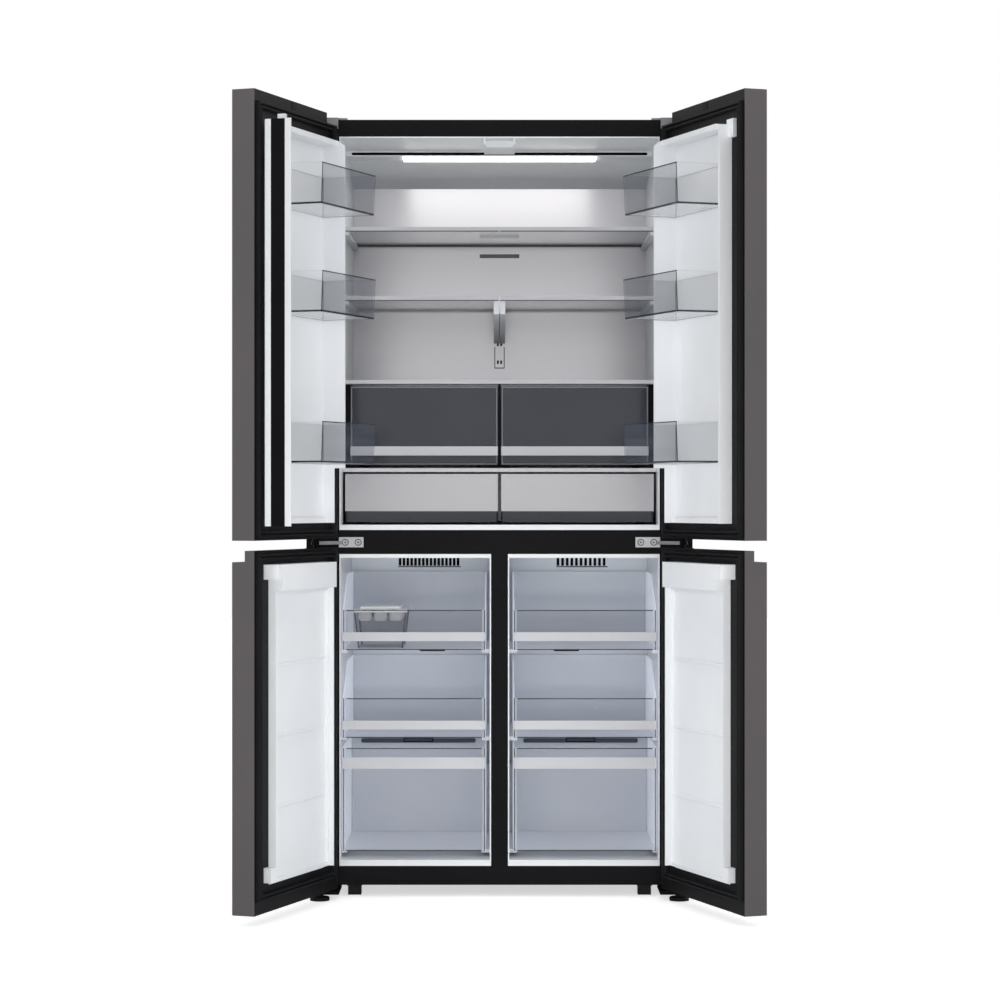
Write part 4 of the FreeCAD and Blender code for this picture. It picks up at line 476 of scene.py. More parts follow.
def clear_bin(work, side, foot):
    x0, x1 = sorted((side * BIN_HINGE_END, side * BIN_FREE_END))
    shell = block(work, (x0, BIN_BACK, foot), (x1, BIN_FRONT, foot + BIN_HEIGHT))
    corners = edges_of(shell, axis=2)
    bottom = [e for e in edges_of(shell) if all(v.co.z < foot + BIN_WALL for v in e.verts)]
    top = max({f for v in shell for f in v.link_faces}, key=lambda f: f.calc_center_median().z)
    bmesh.ops.inset_region(work, faces=[top], thickness=BIN_WALL, use_even_offset=True)
    sunk = bmesh.ops.extrude_discrete_faces(work, faces=[top])["faces"]
    bmesh.ops.translate(work, vec=(0, 0, BIN_BASE - BIN_HEIGHT), verts=sunk[0].verts)
    rounded = soften(work, corners + bottom, BIN_ROUND)["faces"]
    rim = [f for f in work.faces if abs(f.calc_center_median().z - foot - BIN_HEIGHT) < SLACK]
    for face in rim + rounded:
        face.material_index = DARK_EDGE
    walls = set(work.faces)
    free_end = side * BIN_FREE_END
    bead_x0, bead_x1 = sorted((free_end, free_end + side * BEAD))
    beads = block(work, (x0, BIN_FRONT - BEAD, foot), (x1, BIN_FRONT, foot + BEAD))
    beads += block(work, (bead_x0, BIN_BACK, foot), (bead_x1, BIN_FRONT, foot + BEAD))
    soften(work, edges_of(beads), BEAD_ROUND)
    rim_z = foot + BIN_HEIGHT
    beads = block(work, (x0, BIN_FRONT - BIN_WALL, rim_z - RIM_BEAD), (x1, BIN_FRONT, rim_z))
    soften(work, edges_of(beads), RIM_ROUND)
    for face in set(work.faces) - walls:
        face.material_index = DARK_EDGE
    for face in walls:
        middle = face.calc_center_median()
        if face.material_index == CLEAR_WALL and middle.y > BIN_FRONT - 2 * BIN_WALL:
            face.material_index = SMOKY_FRONT
        if face.material_index == CLEAR_WALL and middle.z < foot + 2 * BIN_BASE:
            face.material_index = FROSTED_FLOOR


print("bins", BIN_HEIGHT, "m high")

# %% [markdown]
# The front of a bin leans out a little towards the hinge and the rim. Each bin is made and leaned by
# itself, and then three are gathered into one piece on each door. Clear plastic lets almost all light
# by, so the bins cast no shadow.

# %% Bins on the upper doors
LEAN_FREE, LEAN_HINGE = (-0.0035, 0.0), (0.0045, 0.0090)


def lean_out(work, foot):
    """Move the front of one bin out or in, by how near it is to the hinge and to the rim."""
    for vert in work.verts:
        along = (abs(vert.co.x) - BIN_FREE_END) / (BIN_HINGE_END - BIN_FREE_END)
        up = (vert.co.z - foot) / BIN_HEIGHT
        forward = (vert.co.y - BIN_BACK) / (BIN_FRONT - BIN_BACK)
        at_free = LEAN_FREE[0] + up * (LEAN_FREE[1] - LEAN_FREE[0])
        at_hinge = LEAN_HINGE[0] + up * (LEAN_HINGE[1] - LEAN_HINGE[0])
        vert.co.y += forward * (at_free + along * (at_hinge - at_free))


for door in DOORS[:2]:
    work = bmesh.new()
    for foot in BIN_FLOORS:
        one = bmesh.new()
        clear_bin(one, across(door), foot)
        lean_out(one, foot)
        shape = bpy.data.meshes.new("bin_shape")
        one.to_mesh(shape)
        one.free()
        work.from_mesh(shape)
        bpy.data.meshes.remove(shape)
    swing_open(work, door)
    name = door.split("_")[1] + "_door_bins"
    bins = stand(work, "clear_" + name, door, "bin_clear", bin_clear, edge_dark, bin_smoke, bin_floor)
    bins.visible_shadow = False
    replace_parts(bins, name)

# %% [markdown]
# ## Door seals
# A magnetic seal runs round each door: a soft extrusion with two rounded lips and a valley between
# them. Seen as a cross-section it is a wavy line, and insetting one flat face again and again, each
# time a little higher or lower, sweeps that line round all four sides at once.

# %% Seals round the four doors
SEAL_HINGE, SEAL_FREE = 0.430, 0.0095
SEAL_BASE = front_y - 0.010
SEAL_HEIGHTS = {"upper": (0.853, 1.811), "lower": (0.055, 0.819)}
SEAL_LINE = ((0.0012, 0.0083), (0.0014, 0.0012), (0.0030, 0.0), (0.0012, -0.0022), (0.0006, -0.0030),
             (0.0012, 0.0), (0.0006, 0.0030), (0.0012, 0.0022), (0.0030, 0.0), (0.0014, -0.0012),
             (0.0012, -0.0083))


def profiled_seal(work, side, low, high):
    x0, x1 = sorted((side * SEAL_HINGE, side * SEAL_FREE))
    sheet = bmesh.ops.create_grid(work, x_segments=1, y_segments=1, size=0.5)["verts"]
    bmesh.ops.rotate(work, matrix=Matrix.Rotation(math.radians(-90), 3, "X"), verts=sheet)
    bmesh.ops.scale(work, vec=(x1 - x0, 1, high - low), verts=sheet)
    bmesh.ops.translate(work, vec=((x0 + x1) / 2, SEAL_BASE, (low + high) / 2), verts=sheet)
    centre = sheet[0].link_faces[0]
    for step, rise in SEAL_LINE:
        bmesh.ops.inset_region(work, faces=[centre], thickness=step, use_boundary=True, use_even_offset=True)
        bmesh.ops.translate(work, vec=(0, rise, 0), verts=centre.verts)
    bmesh.ops.delete(work, geom=[centre], context="FACES_ONLY")
    bmesh.ops.bridge_loops(work, edges=[e for e in work.edges if e.is_boundary])


for door in DOORS:
    work = bmesh.new()
    level, hand = door.split("_")[:2]
    profiled_seal(work, across(door), *SEAL_HEIGHTS[level])
    swing_open(work, door)
    name = level + "_" + hand + "_gasket"
    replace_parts(stand(work, "lipped_" + name, door, "seal_rubber", seal_rubber), name)

# %% [markdown]
# ## Hinge screws
# The hinge plates are held by cross-head screws. Each head is a short disc with a rounded rim and a
# shallow dish, on a dark washer, and the driver's cross is a dark plus set into the dish: painted shade
# for the recess.

# %% One cross-head screw
SCREW_HEAD, SCREW_RISE = 0.0065, 0.0025
SCREW_SHANK, SHANK_LENGTH = 0.0024, 0.004
WASHER, WASHER_RISE = 0.0080, 0.0006
SCREW_ROUND, DISH_MARGIN, DISH_DEPTH = 0.0009, 0.0008, 0.0004
CROSS_ARM, CROSS_WIDTH = 0.0030, 0.0006
CROSS_SINK, CROSS_PROUD = 0.0003, 0.00005
DARK_WASHER_AND_CROSS_SHADE = 1


def cross_screw(work, seat, out):
    """A screw whose head stands on a seat and points out along an axis."""
    before = set(work.verts)
    head = bmesh.ops.create_cone(work, cap_ends=True, segments=24, radius1=SCREW_HEAD,
                                 radius2=SCREW_HEAD, depth=SCREW_RISE)["verts"]
    bmesh.ops.translate(work, vec=(0, 0, SCREW_RISE / 2), verts=head)
    top = [f for v in head for f in v.link_faces if f.normal.z > 0.9][0]
    soften(work, list(top.edges), SCREW_ROUND, segments=3)
    fresh = [f for f in work.faces if set(f.verts).isdisjoint(before)]
    top = max(fresh, key=lambda f: f.calc_center_median().z)
    bmesh.ops.inset_region(work, faces=[top], thickness=DISH_MARGIN, depth=-DISH_DEPTH)
    shank = bmesh.ops.create_cone(work, cap_ends=True, segments=16, radius1=SCREW_SHANK,
                                  radius2=SCREW_SHANK, depth=SHANK_LENGTH)["verts"]
    bmesh.ops.translate(work, vec=(0, 0, -SHANK_LENGTH / 2), verts=shank)
    washer = bmesh.ops.create_cone(work, cap_ends=True, segments=24, radius1=WASHER,
                                   radius2=WASHER - WASHER_RISE, depth=WASHER_RISE)["verts"]
    bmesh.ops.translate(work, vec=(0, 0, WASHER_RISE / 2), verts=washer)
    for face in {f for v in washer for f in v.link_faces}:
        face.material_index = DARK_WASHER_AND_CROSS_SHADE
    # The dark plus is painted shade for the cross recess; the washer shares its dark finish.
    dish = SCREW_RISE - DISH_DEPTH
    for arm_x, arm_y in ((CROSS_ARM, CROSS_WIDTH), (CROSS_WIDTH, CROSS_ARM)):
        arm = block(work, (-arm_x, -arm_y, dish - CROSS_SINK), (arm_x, arm_y, dish + CROSS_PROUD))
        for face in {f for v in arm for f in v.link_faces}:
            face.material_index = DARK_WASHER_AND_CROSS_SHADE
    made = [v for v in work.verts if v not in before]
    turn = Vector((0, 0, 1)).rotation_difference(Vector(out)).to_matrix()
    bmesh.ops.rotate(work, matrix=turn, verts=made)
    bmesh.ops.translate(work, vec=seat, verts=made)


print("screw heads", 2 * SCREW_HEAD, "m across")

# %% [markdown]
# On each side two screws hold the middle hinge to the front and three hold the top hinge down. One loop
# mirrors them, and the whole set stands in for the plain screws of the frame.

# %% Screws on the hinges
MIDDLE_SCREWS = [(x, front_y - 0.003, 0.837) for x in (0.3335, 0.364)]
TOP_SCREWS = [(x, front_y + y, 1.8385) for x, y in ((0.431, 0.0755), (0.379, 0.0755), (0.379, 0.0195))]
work = bmesh.new()
for side in (-1, 1):
    for x, y, z in MIDDLE_SCREWS:
        cross_screw(work, (side * x, y, z), (0, -1, 0))
    for x, y, z in TOP_SCREWS:
        cross_screw(work, (side * x, y, z), (0, 0, 1))
screws = stand(work, "cross_head_screws", "cabinet", "hinge_steel", hinge_steel, rail_black)
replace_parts(screws, "hinge_screws")

# %% [markdown]
# The sheets on the back are held the same way, with a row of screws down each edge and one at the middle
# of the top and of the foot. The cover over the controls stands a little proud of the sheet, so its four
# screws start from its own face.

# %% Screws in the back
REAR_FACE, CONTROL_FACE = front_y + 0.632, front_y + 0.6335
REAR_SCREW_X, REAR_SCREW_ROWS = 0.437, (0.055, 0.200, 0.340, 0.820, 1.310, 1.805)
CONTROL_SCREWS = [(x, z) for x in (0.1325, 0.3025) for z in (1.5185, 1.6885)]
work = bmesh.new()
for z in REAR_SCREW_ROWS:
    for side in (-1, 1):
        cross_screw(work, (side * REAR_SCREW_X, REAR_FACE, z), (0, 1, 0))
for z in (REAR_SCREW_ROWS[0], REAR_SCREW_ROWS[-1]):
    cross_screw(work, (0, REAR_FACE, z), (0, 1, 0))
for x, z in CONTROL_SCREWS:
    cross_screw(work, (x, CONTROL_FACE, z), (0, 1, 0))
stand(work, "rear_screws", "cabinet", "hinge_steel", hinge_steel, rail_black)

# %% [markdown]
# ## Small fittings in the fridge
# A dark air slit runs across the step in the ceiling. Its dark is painted shade: a black strip on the
# face stands for the unlit inside of the slit. It is a thin strip with round ends, so a flat bar with
# its four end edges rounded right over gives it. The slots of the shelf track look black because
# there is nothing behind them, so a dark plug sits a little way inside each.

# %% Air slit and track slots
SLIT_HALF, SLIT_FOOT, SLIT_TOP = 0.363, 1.7830, 1.7896
SLIT_PROUD, SLIT_SUNK, SLIT_ROUND = 0.0006, 0.0004, 0.0032
STEP_FACE = front_y + 0.250
work = bmesh.new()
# Painted shade: a black strip for the unlit slit.
strip = block(work, (-SLIT_HALF, STEP_FACE - SLIT_PROUD, SLIT_FOOT),
              (SLIT_HALF, STEP_FACE + SLIT_SUNK, SLIT_TOP))
soften(work, edges_of(strip, axis=1), SLIT_ROUND, segments=6)
stand(work, "ceiling_air_slit", "cabinet", "black_plastic", rail_black)

TRACK_FOOT, SLOT_PITCH, SLOT_COUNT = 1.277, 0.046, 3
SLOT_INNER, SLOT_WIDTH, SLOT_HEIGHT = 0.0017, 0.0048, 0.009
PLUG_FRONT, PLUG_GAP, PLUG_ROUND = 0.0035, 0.0002, 0.0006
track_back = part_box("shelf_fittings")[1].y
work = bmesh.new()
for row in range(SLOT_COUNT):
    foot = TRACK_FOOT + SLOT_HEIGHT + row * SLOT_PITCH
    for side in (-1, 1):
        x0, x1 = sorted((side * SLOT_INNER, side * (SLOT_INNER + SLOT_WIDTH)))
        plug = block(work, (x0, track_back - PLUG_FRONT, foot),
                     (x1, track_back - PLUG_GAP, foot + SLOT_HEIGHT))
        soften(work, edges_of(plug, axis=1), PLUG_ROUND)
stand(work, "track_slot_plugs", "cabinet", "black_plastic", rail_black)

# %% [markdown]
# A dark bead runs under the front trim of each shelf, as a bar with its long edges rounded. The track
# stands on a thin dark gasket with rounded corners, which shows as an outline round its foot.

# %% Shelf beads and track gasket
SHELF_HALF, SHELF_GAP, BEAD_DROP = 0.372, 0.002, 0.0022
SHELF_UNDERSIDES = (1.217, 1.419, 1.586)
BEAD_FRONT, BEAD_REAR = front_y + 0.1305, front_y + 0.1345
GASKET_HALF, GASKET_FOOT, GASKET_RIM, GASKET_RISE = 0.0132, 1.2746, 1.330, 0.0012
SHELF_BEAD_ROUND, GASKET_ROUND = 0.0007, 0.002
work = bmesh.new()
for underside in SHELF_UNDERSIDES:
    for side in (-1, 1):
        x0, x1 = sorted((side * SHELF_GAP, side * SHELF_HALF))
        bead = block(work, (x0, BEAD_FRONT, underside - BEAD_DROP), (x1, BEAD_REAR, underside))
        soften(work, edges_of(bead, axis=0), SHELF_BEAD_ROUND)
outline = block(work, (-GASKET_HALF, track_back - GASKET_RISE, GASKET_FOOT),
                (GASKET_HALF, track_back, GASKET_RIM))
soften(work, edges_of(outline, axis=1), GASKET_ROUND, segments=3)
stand(work, "shelf_beads", "cabinet", "black_plastic", rear_trim)

# %% [markdown]
# The brackets that carry the half shelves are pale, and their colour is set lighter still: painted light
# that makes up for the little light reaching their sides and undersides. The track behind them is
# bright steel like the back. Both belong to the fittings, so their faces get a second finish from a
# box, the track's last.

# %% Brackets and track
BRACKET_REACH, BRACKET_FOOT, BRACKET_HEAD = 0.0145, 1.270, 1.4188
TRACK_SHEET = 0.0052
# Painted light: the brackets are lighter than the trims of the same fittings, for the dim light on them.
bracket_painted_light = moulded("bracket_painted_light", shade(226, 229, 235), shade(231, 234, 239), 0.3, 0.4)
bracket_low = Vector((-BRACKET_REACH, BEAD_FRONT, BRACKET_FOOT))
bracket_high = Vector((BRACKET_REACH, track_back, BRACKET_HEAD))
print("brackets", paint_within("shelf_fittings", bracket_painted_light, bracket_low, bracket_high))
track_low = Vector((-BRACKET_REACH, track_back - TRACK_SHEET, BRACKET_FOOT))
print("track", paint_within("shelf_fittings", lightened_back_steel, track_low, bracket_high))

# %% [markdown]
# ## Frames on the crisper fronts
# The front of each crisper has a thin raised frame. Its light grey is a painted highlight, for the light that
# the raised edge catches. A flat face is inset, its middle is taken out, and the ring that is left is pulled
# forward by less than a millimetre.

# %% Crisper frames
FRAME_LINE, FRAME_RISE, FRAME_MARGIN = 0.0030, 0.0008, 0.001


def raised_ring(work, low, high, front):
    sheet = bmesh.ops.create_grid(work, x_segments=1, y_segments=1, size=0.5)["verts"]
    bmesh.ops.rotate(work, matrix=Matrix.Rotation(math.radians(90), 3, "X"), verts=sheet)
    bmesh.ops.scale(work, vec=(high[0] - low[0], 1, high[1] - low[1]), verts=sheet)
    bmesh.ops.translate(work, vec=((low[0] + high[0]) / 2, front, (low[1] + high[1]) / 2), verts=sheet)
    middle = sheet[0].link_faces[0]
    bmesh.ops.inset_region(work, faces=[middle], thickness=FRAME_LINE, use_boundary=True,
                           use_even_offset=True)
    bmesh.ops.delete(work, geom=[middle], context="FACES_ONLY")
    ring = [f for v in sheet for f in v.link_faces]
    pulled = bmesh.ops.extrude_face_region(work, geom=list(set(ring)))["geom"]
    bmesh.ops.translate(work, vec=(0, -FRAME_RISE, 0),
                        verts=[v for v in pulled if isinstance(v, bmesh.types.BMVert)])


# Painted highlight: the frame's light grey stands for light caught on its edge.
frame_line = moulded("crisper_frame_painted_highlight", shade(112, 115, 124), shade(120, 123, 131), 0.2, 0.3)
for side in ("left_", "right_"):
    low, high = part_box(side + "crisper")
    work = bmesh.new()
    ring_low = (low.x + FRAME_MARGIN, low.z + FRAME_MARGIN)
    ring_high = (high.x - FRAME_MARGIN, high.z - FRAME_MARGIN)
    raised_ring(work, ring_low, ring_high, low.y + FACE_PLATE)
    stand(work, side + "crisper_frame", side + "crisper", "smoke_clear", frame_line)

# %% [markdown]
# ## Dark outlines on the freezer drawers
# Clear plastic looks dark where it is seen edge on, so the front of each freezer drawer shows a thin
# dark outline. Four slim bars draw it: one along the rim, one along the foot, and one on each rounded
# corner, turned by half a right angle so that it lies flat on the curve.

# %% Drawer outlines
DRAWER_RIMS = {"top": 0.676, "middle": 0.467, "bottom": 0.349}
LINE_WIDTH, LINE_RISE = 0.0024, 0.0005
TUB_CORNER = 0.010


def corner_bar(work, spot, foot, rim, hand):
    """A slim bar up the middle of a rounded corner, on the left for -1 and on the right for 1."""
    x, y = spot
    bar = block(work, (x - LINE_WIDTH / 2, y - LINE_RISE, foot), (x + LINE_WIDTH / 2, y, rim))
    bmesh.ops.rotate(work, cent=(x, y, 0), matrix=Matrix.Rotation(math.radians(hand * 45), 3, "Z"), verts=bar)
    soften(work, edges_of(bar, axis=2), LINE_RISE / 3)


def drawer_outline(work, low, high, rim):
    wall = low.y + FACE_PLATE
    bulge = TUB_CORNER * (1 - math.cos(math.radians(45)))
    corner_bar(work, (low.x + bulge, wall + bulge), low.z, rim, -1)
    corner_bar(work, (high.x - bulge, wall + bulge), low.z, rim, 1)
    for foot in (low.z, rim - LINE_WIDTH):
        bar = block(work, (low.x + TUB_CORNER, wall - LINE_RISE, foot),
                    (high.x - TUB_CORNER, wall, foot + LINE_WIDTH))
        soften(work, edges_of(bar, axis=0), LINE_RISE / 3)


for side in ("left_", "right_"):
    for level, rim in DRAWER_RIMS.items():
        drawer = side + "freezer_drawer_" + level
        work = bmesh.new()
        drawer_outline(work, *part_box(drawer), rim)
        stand(work, drawer + "_outline", drawer, "clear_plastic", edge_dark)

# %% [markdown]
# ## Dark air behind the vents
# A slot in a duct looks dark because the space behind it is unlit. A thin dark pad stands right
# behind each row of slots and gives the same look, and a slim dark strip runs along the foot of each grille.

# %% Pads behind the vents
PAD, DUCT_SHEET = 0.001, 0.005
duct_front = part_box("freezer_duct_panel")[0].y
duct_rear = duct_front + DUCT_SHEET
GRILLES = ((-0.257, -0.098), (0.144, 0.275))
GRILLE_FOOT, GRILLE_RIM, GRILLE_STRIP = 0.769, 0.791, 0.0024
LOW_VENT_MIDDLE, LOW_VENT_HALF = 0.170, 0.033
LOW_VENTS = ((0.552, 0.562), (0.356, 0.366))

work = bmesh.new()
for first, last in GRILLES:
    pad = block(work, (first, duct_rear, GRILLE_FOOT), (last, duct_rear + PAD, GRILLE_RIM))
    soften(work, edges_of(pad, axis=1), PAD)
    grille_foot_strip = block(work, (first, duct_front - PAD, GRILLE_FOOT - GRILLE_STRIP), (last, duct_front, GRILLE_FOOT))
    soften(work, edges_of(grille_foot_strip, axis=0), GRILLE_STRIP / 4)
for side in (-1, 1):
    x0, x1 = side * LOW_VENT_MIDDLE - LOW_VENT_HALF, side * LOW_VENT_MIDDLE + LOW_VENT_HALF
    for foot, rim in LOW_VENTS:
        pad = block(work, (x0, duct_rear, foot), (x1, duct_rear + PAD, rim))
        soften(work, edges_of(pad, axis=1), PAD)
stand(work, "freezer_vent_pads", "cabinet", "black_plastic", rail_black)

# %% [markdown]
# The slit in the steel back shows grey rather than black. A grey bar with rounded edges fills it, a
# little behind the face of the steel.

# %% Slit in the steel back
slit_grey = moulded("slit_grey", shade(118, 119, 123), shade(124, 125, 129), 0.5, 0.6)
INSERT_HALF, INSERT_FOOT, INSERT_RIM = 0.0508, 1.5582, 1.5678
INSERT_SUNK, INSERT_ROUND = 0.0004, 0.0003
back_low, back_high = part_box("fridge_duct_panel")
work = bmesh.new()
insert = block(work, (-INSERT_HALF, back_low.y + INSERT_SUNK, INSERT_FOOT),
               (INSERT_HALF, back_high.y, INSERT_RIM))
soften(work, edges_of(insert, axis=0), INSERT_ROUND)
stand(work, "steel_slit_insert", "cabinet", "black_plastic", slit_grey)

# %% [markdown]
# ## Catch rails in the bottom drawers
# The rear wall of each bottom drawer carries a dark rail near its rim, with a black catch clipped over
# its middle. The rail's dark grey is painted shade, for the shadowed gap above the drawer's back. The
# rail is a long bar with rounded ends, and the catch is inset to leave a raised frame.

# %% Catch rails
RAIL_HALF, RAIL_FOOT, RAIL_RIM = 0.143, 0.330, 0.341
CATCH_HALF, CATCH_FOOT, CATCH_RIM = 0.037, 0.332, 0.343
RAIL_DEPTH, RAIL_ROUND = 0.003, 0.004
CATCH_DEPTH, CATCH_FRAME, CATCH_DISH = 0.006, 0.0024, 0.0015
SHADED_RAIL, BLACK_CATCH = range(2)
# Painted shade: the rail's dark grey stands for the shadowed gap behind the drawer.
rail_shade = moulded("rail_painted_shade", shade(70, 74, 84), shade(76, 80, 90), 0.3, 0.4, shine=0.3)
for side in ("left_", "right_"):
    low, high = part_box(side + "freezer_drawer_bottom")
    middle, wall = (low.x + high.x) / 2, high.y - TUB_WALL
    work = bmesh.new()
    x0, x1 = middle - RAIL_HALF, middle + RAIL_HALF
    rail = block(work, (x0, wall - RAIL_DEPTH, RAIL_FOOT), (x1, wall, RAIL_RIM))
    soften(work, edges_of(rail, axis=1), RAIL_ROUND, segments=4)
    x0, x1 = middle - CATCH_HALF, middle + CATCH_HALF
    catch = block(work, (x0, wall - CATCH_DEPTH, CATCH_FOOT), (x1, wall, CATCH_RIM))
    face = min({f for v in catch for f in v.link_faces}, key=lambda f: f.calc_center_median().y)
    for around in {f for v in catch for f in v.link_faces}:
        around.material_index = BLACK_CATCH
    bmesh.ops.inset_region(work, faces=[face], thickness=CATCH_FRAME, depth=-CATCH_DISH,
                           use_even_offset=True)
    face.material_index = SHADED_RAIL
    stand(work, side + "catch_rail", side + "freezer_drawer_bottom", "black_plastic", rail_shade, rail_black)

# %% [markdown]
# ## The ice box
# A clear bin that narrows towards its foot stands in the top left drawer. It is made like the door
# bins, and then its floor is drawn in and its corners are rounded.

# %% Ice bin
BIN_TAPER, ICE_CORNER = 0.86, 0.004
TRAY_FOOT = 0.669
ice_low, ice_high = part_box("ice_box")
work = bmesh.new()
shell = block(work, ice_low, (ice_high.x, ice_high.y, TRAY_FOOT))
corners = edges_of(shell, axis=2)
top = max({f for v in shell for f in v.link_faces}, key=lambda f: f.calc_center_median().z)
bmesh.ops.inset_region(work, faces=[top], thickness=BIN_WALL, use_even_offset=True)
sunk = bmesh.ops.extrude_discrete_faces(work, faces=[top])["faces"][0]
bmesh.ops.translate(work, vec=(0, 0, ice_low.z + BIN_WALL - TRAY_FOOT), verts=sunk.verts)
foot = [v for v in work.verts if v.co.z < ice_low.z + 2 * BIN_WALL]
centre = Matrix.Translation(-(ice_low + ice_high) / 2)
bmesh.ops.scale(work, vec=(BIN_TAPER, BIN_TAPER, 1), space=centre, verts=foot)
rounded = soften(work, corners, ICE_CORNER, segments=3)["faces"]
for face in rounded:
    face.material_index = DARK_EDGE
bin_faces = set(work.faces)
print("ice bin", len(bin_faces), "faces")

# %% [markdown]
# A white tray with three cups rests on the rim of the bin, under a thin lid. Each cup is a box whose
# lower edges are rounded right over. Everything made after the bin gets the white finish.

# %% Cup tray and lid
TRAY_RIM, TRAY_ROUND = 0.676, 0.0015
CUP_COUNT, CUP_FOOT, CUP_GAP, CUP_MARGIN, CUP_ROUND = 3, 0.648, 0.005, 0.008, 0.008
LID_INSET, LID_ROUND = 0.014, 0.002
TRAY_FINISH = 2
tray_white = moulded("ice_tray_white", shade(226, 228, 232), shade(231, 233, 236), 0.3, 0.4)
tray = block(work, (ice_low.x, ice_low.y, TRAY_FOOT), (ice_high.x, ice_high.y, TRAY_RIM))
soften(work, edges_of(tray), TRAY_ROUND)
cup_pitch = (ice_high.x - ice_low.x - 2 * CUP_MARGIN) / CUP_COUNT
for number in range(CUP_COUNT):
    left = ice_low.x + CUP_MARGIN + number * cup_pitch + CUP_GAP / 2
    cup = block(work, (left, ice_low.y + CUP_MARGIN, CUP_FOOT),
                (left + cup_pitch - CUP_GAP, ice_high.y - CUP_MARGIN, TRAY_FOOT))
    lower = [e for e in edges_of(cup) if all(v.co.z < CUP_FOOT + SLACK for v in e.verts)]
    soften(work, lower + edges_of(cup, axis=2), CUP_ROUND, segments=4)
lid = block(work, (ice_low.x + LID_INSET, ice_low.y + LID_INSET, TRAY_RIM),
            (ice_high.x - LID_INSET, ice_high.y - LID_INSET, ice_high.z))
soften(work, edges_of(lid), LID_ROUND)
for face in set(work.faces) - bin_faces:
    face.material_index = TRAY_FINISH
carrier = "left_freezer_drawer_top"
ice_box = stand(work, "ice_maker", carrier, "clear_plastic", tub_front, edge_dark, tray_white)
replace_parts(ice_box, "ice_box")

# %% [markdown]
# ## Ribs across the lower door liners
# Three low ribs stiffen each lower liner. Each is a long bar with its long edges rounded over, so it
# catches a thin light line on top and leaves a soft shadow below.

# %% Liner ribs
RIB_HINGE, RIB_FREE = 0.347, 0.090
RIB_BACK, RIB_FRONT = front_y - 0.001, front_y + 0.0055
RIB_LEVELS = (0.2578, 0.4145, 0.5713)
RIB_HALF, RIB_ROUND = 0.0032, 0.0026
for door in DOORS[2:]:
    work = bmesh.new()
    x0, x1 = sorted((across(door) * RIB_HINGE, across(door) * RIB_FREE))
    for level in RIB_LEVELS:
        rib = block(work, (x0, RIB_BACK, level - RIB_HALF), (x1, RIB_FRONT, level + RIB_HALF))
        soften(work, edges_of(rib), RIB_ROUND, segments=4)
    swing_open(work, door)
    stand(work, door + "_ribs", door, "white_plastic", white_plastic)

# %% [markdown]
# ## Caps in the door frames
# A small black cap closes the hole in the inner face of each upper door, near the top, through which
# the foam was filled. It is a flat plate with rounded corners that stands half a millimetre proud.

# %% Filler caps
CAP_ACROSS, CAP_HALF, CAP_RISE = 0.209, 0.011, 0.0006
CAP_FOOT, CAP_RIM, CAP_ROUND = 1.8175, 1.8335, 0.002
for door in DOORS[:2]:
    work = bmesh.new()
    middle = across(door) * CAP_ACROSS
    x0, x1 = middle - CAP_HALF, middle + CAP_HALF
    plate = block(work, (x0, SEAL_BASE, CAP_FOOT), (x1, SEAL_BASE + CAP_RISE, CAP_RIM))
    soften(work, edges_of(plate, axis=1), CAP_ROUND)
    swing_open(work, door)
    stand(work, door + "_filler_cap", door, "black_plastic", rail_black)

# %% [markdown]
# ## The studio
# The studio has a white surround, a pale floor and soft lamps. The surround shows white to the camera
# and in reflections, and gives a softer fill to everything else, so metal and gloss see the same white
# room.

# %% White surround
FILL = 0.5
world = bpy.data.worlds.new("white_room")
bpy.context.scene.world = world
world.use_nodes = True
sky = world.node_tree
path = sky.nodes.new("ShaderNodeLightPath")
seen = sky.nodes.new("ShaderNodeMath")
seen.operation = "MAXIMUM"
clear_seen = sky.nodes.new("ShaderNodeMath")
clear_seen.operation = "MAXIMUM"
level = sky.nodes.new("ShaderNodeMapRange")
level.inputs["To Min"].default_value = FILL
level.inputs["To Max"].default_value = 1.0
sky.links.new(path.outputs["Is Camera Ray"], seen.inputs[0])
sky.links.new(path.outputs["Is Glossy Ray"], seen.inputs[1])
sky.links.new(seen.outputs["Value"], clear_seen.inputs[0])
sky.links.new(path.outputs["Is Transmission Ray"], clear_seen.inputs[1])
sky.links.new(clear_seen.outputs["Value"], level.inputs["Value"])
sky.links.new(level.outputs["Result"], sky.nodes["Background"].inputs["Strength"])
sky.nodes["Background"].inputs["Color"].default_value = (1.0, 1.0, 1.0, 1.0)
print("fill", FILL)

# %% [markdown]
# The floor takes the object's shadow. It also glows a little to the camera alone, so it reads as white
# wherever no shadow falls, and sends no extra light up under the doors.

# %% Floor
FLOOR_LIFT, FLOOR_REACH = 0.6, 15.0


def pale_floor():
    material, tree, shader = start_finish("pale_floor")
    fleck = speckle(tree, 40, detail=2.0)
    tint(tree, shader, fleck, shade(236, 236, 236), shade(240, 240, 240))
    shader.inputs["Roughness"].default_value = 0.9
    look = tree.nodes.new("ShaderNodeLightPath")
    lift = tree.nodes.new("ShaderNodeMath")
    lift.operation = "MULTIPLY"
    lift.inputs[1].default_value = FLOOR_LIFT
    tree.links.new(look.outputs["Is Camera Ray"], lift.inputs[0])
    tree.links.new(lift.outputs["Value"], shader.inputs["Emission Strength"])
    shader.inputs["Emission Color"].default_value = (1.0, 1.0, 1.0, 1.0)
    return material


sheet = bmesh.new()
bmesh.ops.create_grid(sheet, x_segments=1, y_segments=1, size=FLOOR_REACH)
floor_mesh = bpy.data.meshes.new("studio_floor")
sheet.to_mesh(floor_mesh)
sheet.free()
floor_mesh.materials.append(pale_floor())
floor = bpy.data.objects.new("studio_floor", floor_mesh)
bpy.context.scene.collection.objects.link(floor)
print("floor", floor.dimensions.x, "m across")

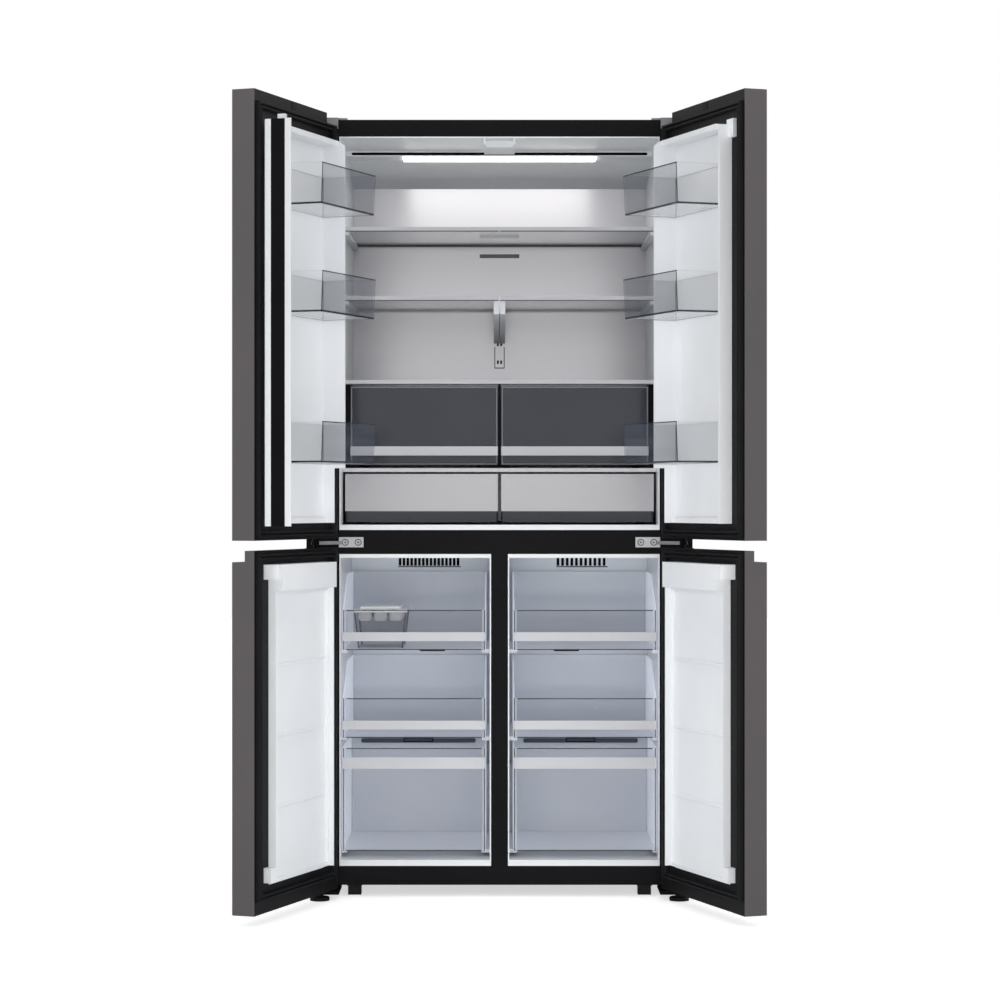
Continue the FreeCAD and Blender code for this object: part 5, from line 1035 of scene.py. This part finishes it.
# %% [markdown]
# Soft lamps stand behind and beside the camera and one hangs above, so that the open doors throw only
# faint shadows. A low strip near the floor shines up into the compartments and lifts their ceilings, and
# a small near lamp between the doors reaches the side walls of the freezers.

# %% Lamps
def soft_lamp(name, place, target, width, height, power):
    data = bpy.data.lights.new(name, "AREA")
    data.shape = "RECTANGLE"
    data.size = width
    data.size_y = height
    data.energy = power
    lamp = bpy.data.objects.new(name, data)
    lamp.location = place
    lamp.visible_glossy = False
    lamp.rotation_euler = (Vector(target) - Vector(place)).to_track_quat("-Z", "Y").to_euler()
    bpy.context.scene.collection.objects.link(lamp)
    print(name, power, "W")
    return lamp


MID_HEIGHT = (0, 0, 0.9)
soft_lamp("front_lamp", (0.0, -7.5, 1.1), MID_HEIGHT, 4.5, 2.4, 25)
soft_lamp("left_lamp", (-4.5, -4.0, 2.6), MID_HEIGHT, 2.5, 2.5, 75)
soft_lamp("right_lamp", (4.5, -4.0, 2.6), MID_HEIGHT, 2.5, 2.5, 75)
soft_lamp("top_lamp", (0.0, -0.5, 5.0), MID_HEIGHT, 3.0, 3.0, 60)
low_lamp = soft_lamp("low_lamp", (0.0, -3.0, 0.12), (0, 0.3, 0.75), 2.2, 0.2, 17)
low_lamp.visible_camera = False
near_lamp = soft_lamp("near_lamp", (0.0, -1.6, 0.55), (0, 0.3, 0.55), 0.7, 0.7, 3.2)
near_lamp.visible_camera = False

# %% [markdown]
# ## The camera
# The picture was taken square to the cabinet, a little above half its height, from far enough away
# that the sides barely spread. A long lens from 6.3 m gives the same view.

# %% Camera
VIEW_DISTANCE = 6.320
EYE_HEIGHT = 0.932
eye = bpy.data.cameras.new("photo_camera")
eye.sensor_width = 36.0
eye.lens = 96.37
eye.shift_x = 0.0005
eye.shift_y = 0.002
camera = bpy.data.objects.new("photo_camera", eye)
camera.location = (0.0, front_y - VIEW_DISTANCE, EYE_HEIGHT)
camera.rotation_euler = (math.radians(90), 0, 0)
bpy.context.scene.collection.objects.link(camera)
bpy.context.scene.camera = camera
bpy.context.scene.view_settings.view_transform = "Standard"
print("lens", eye.lens, "mm")
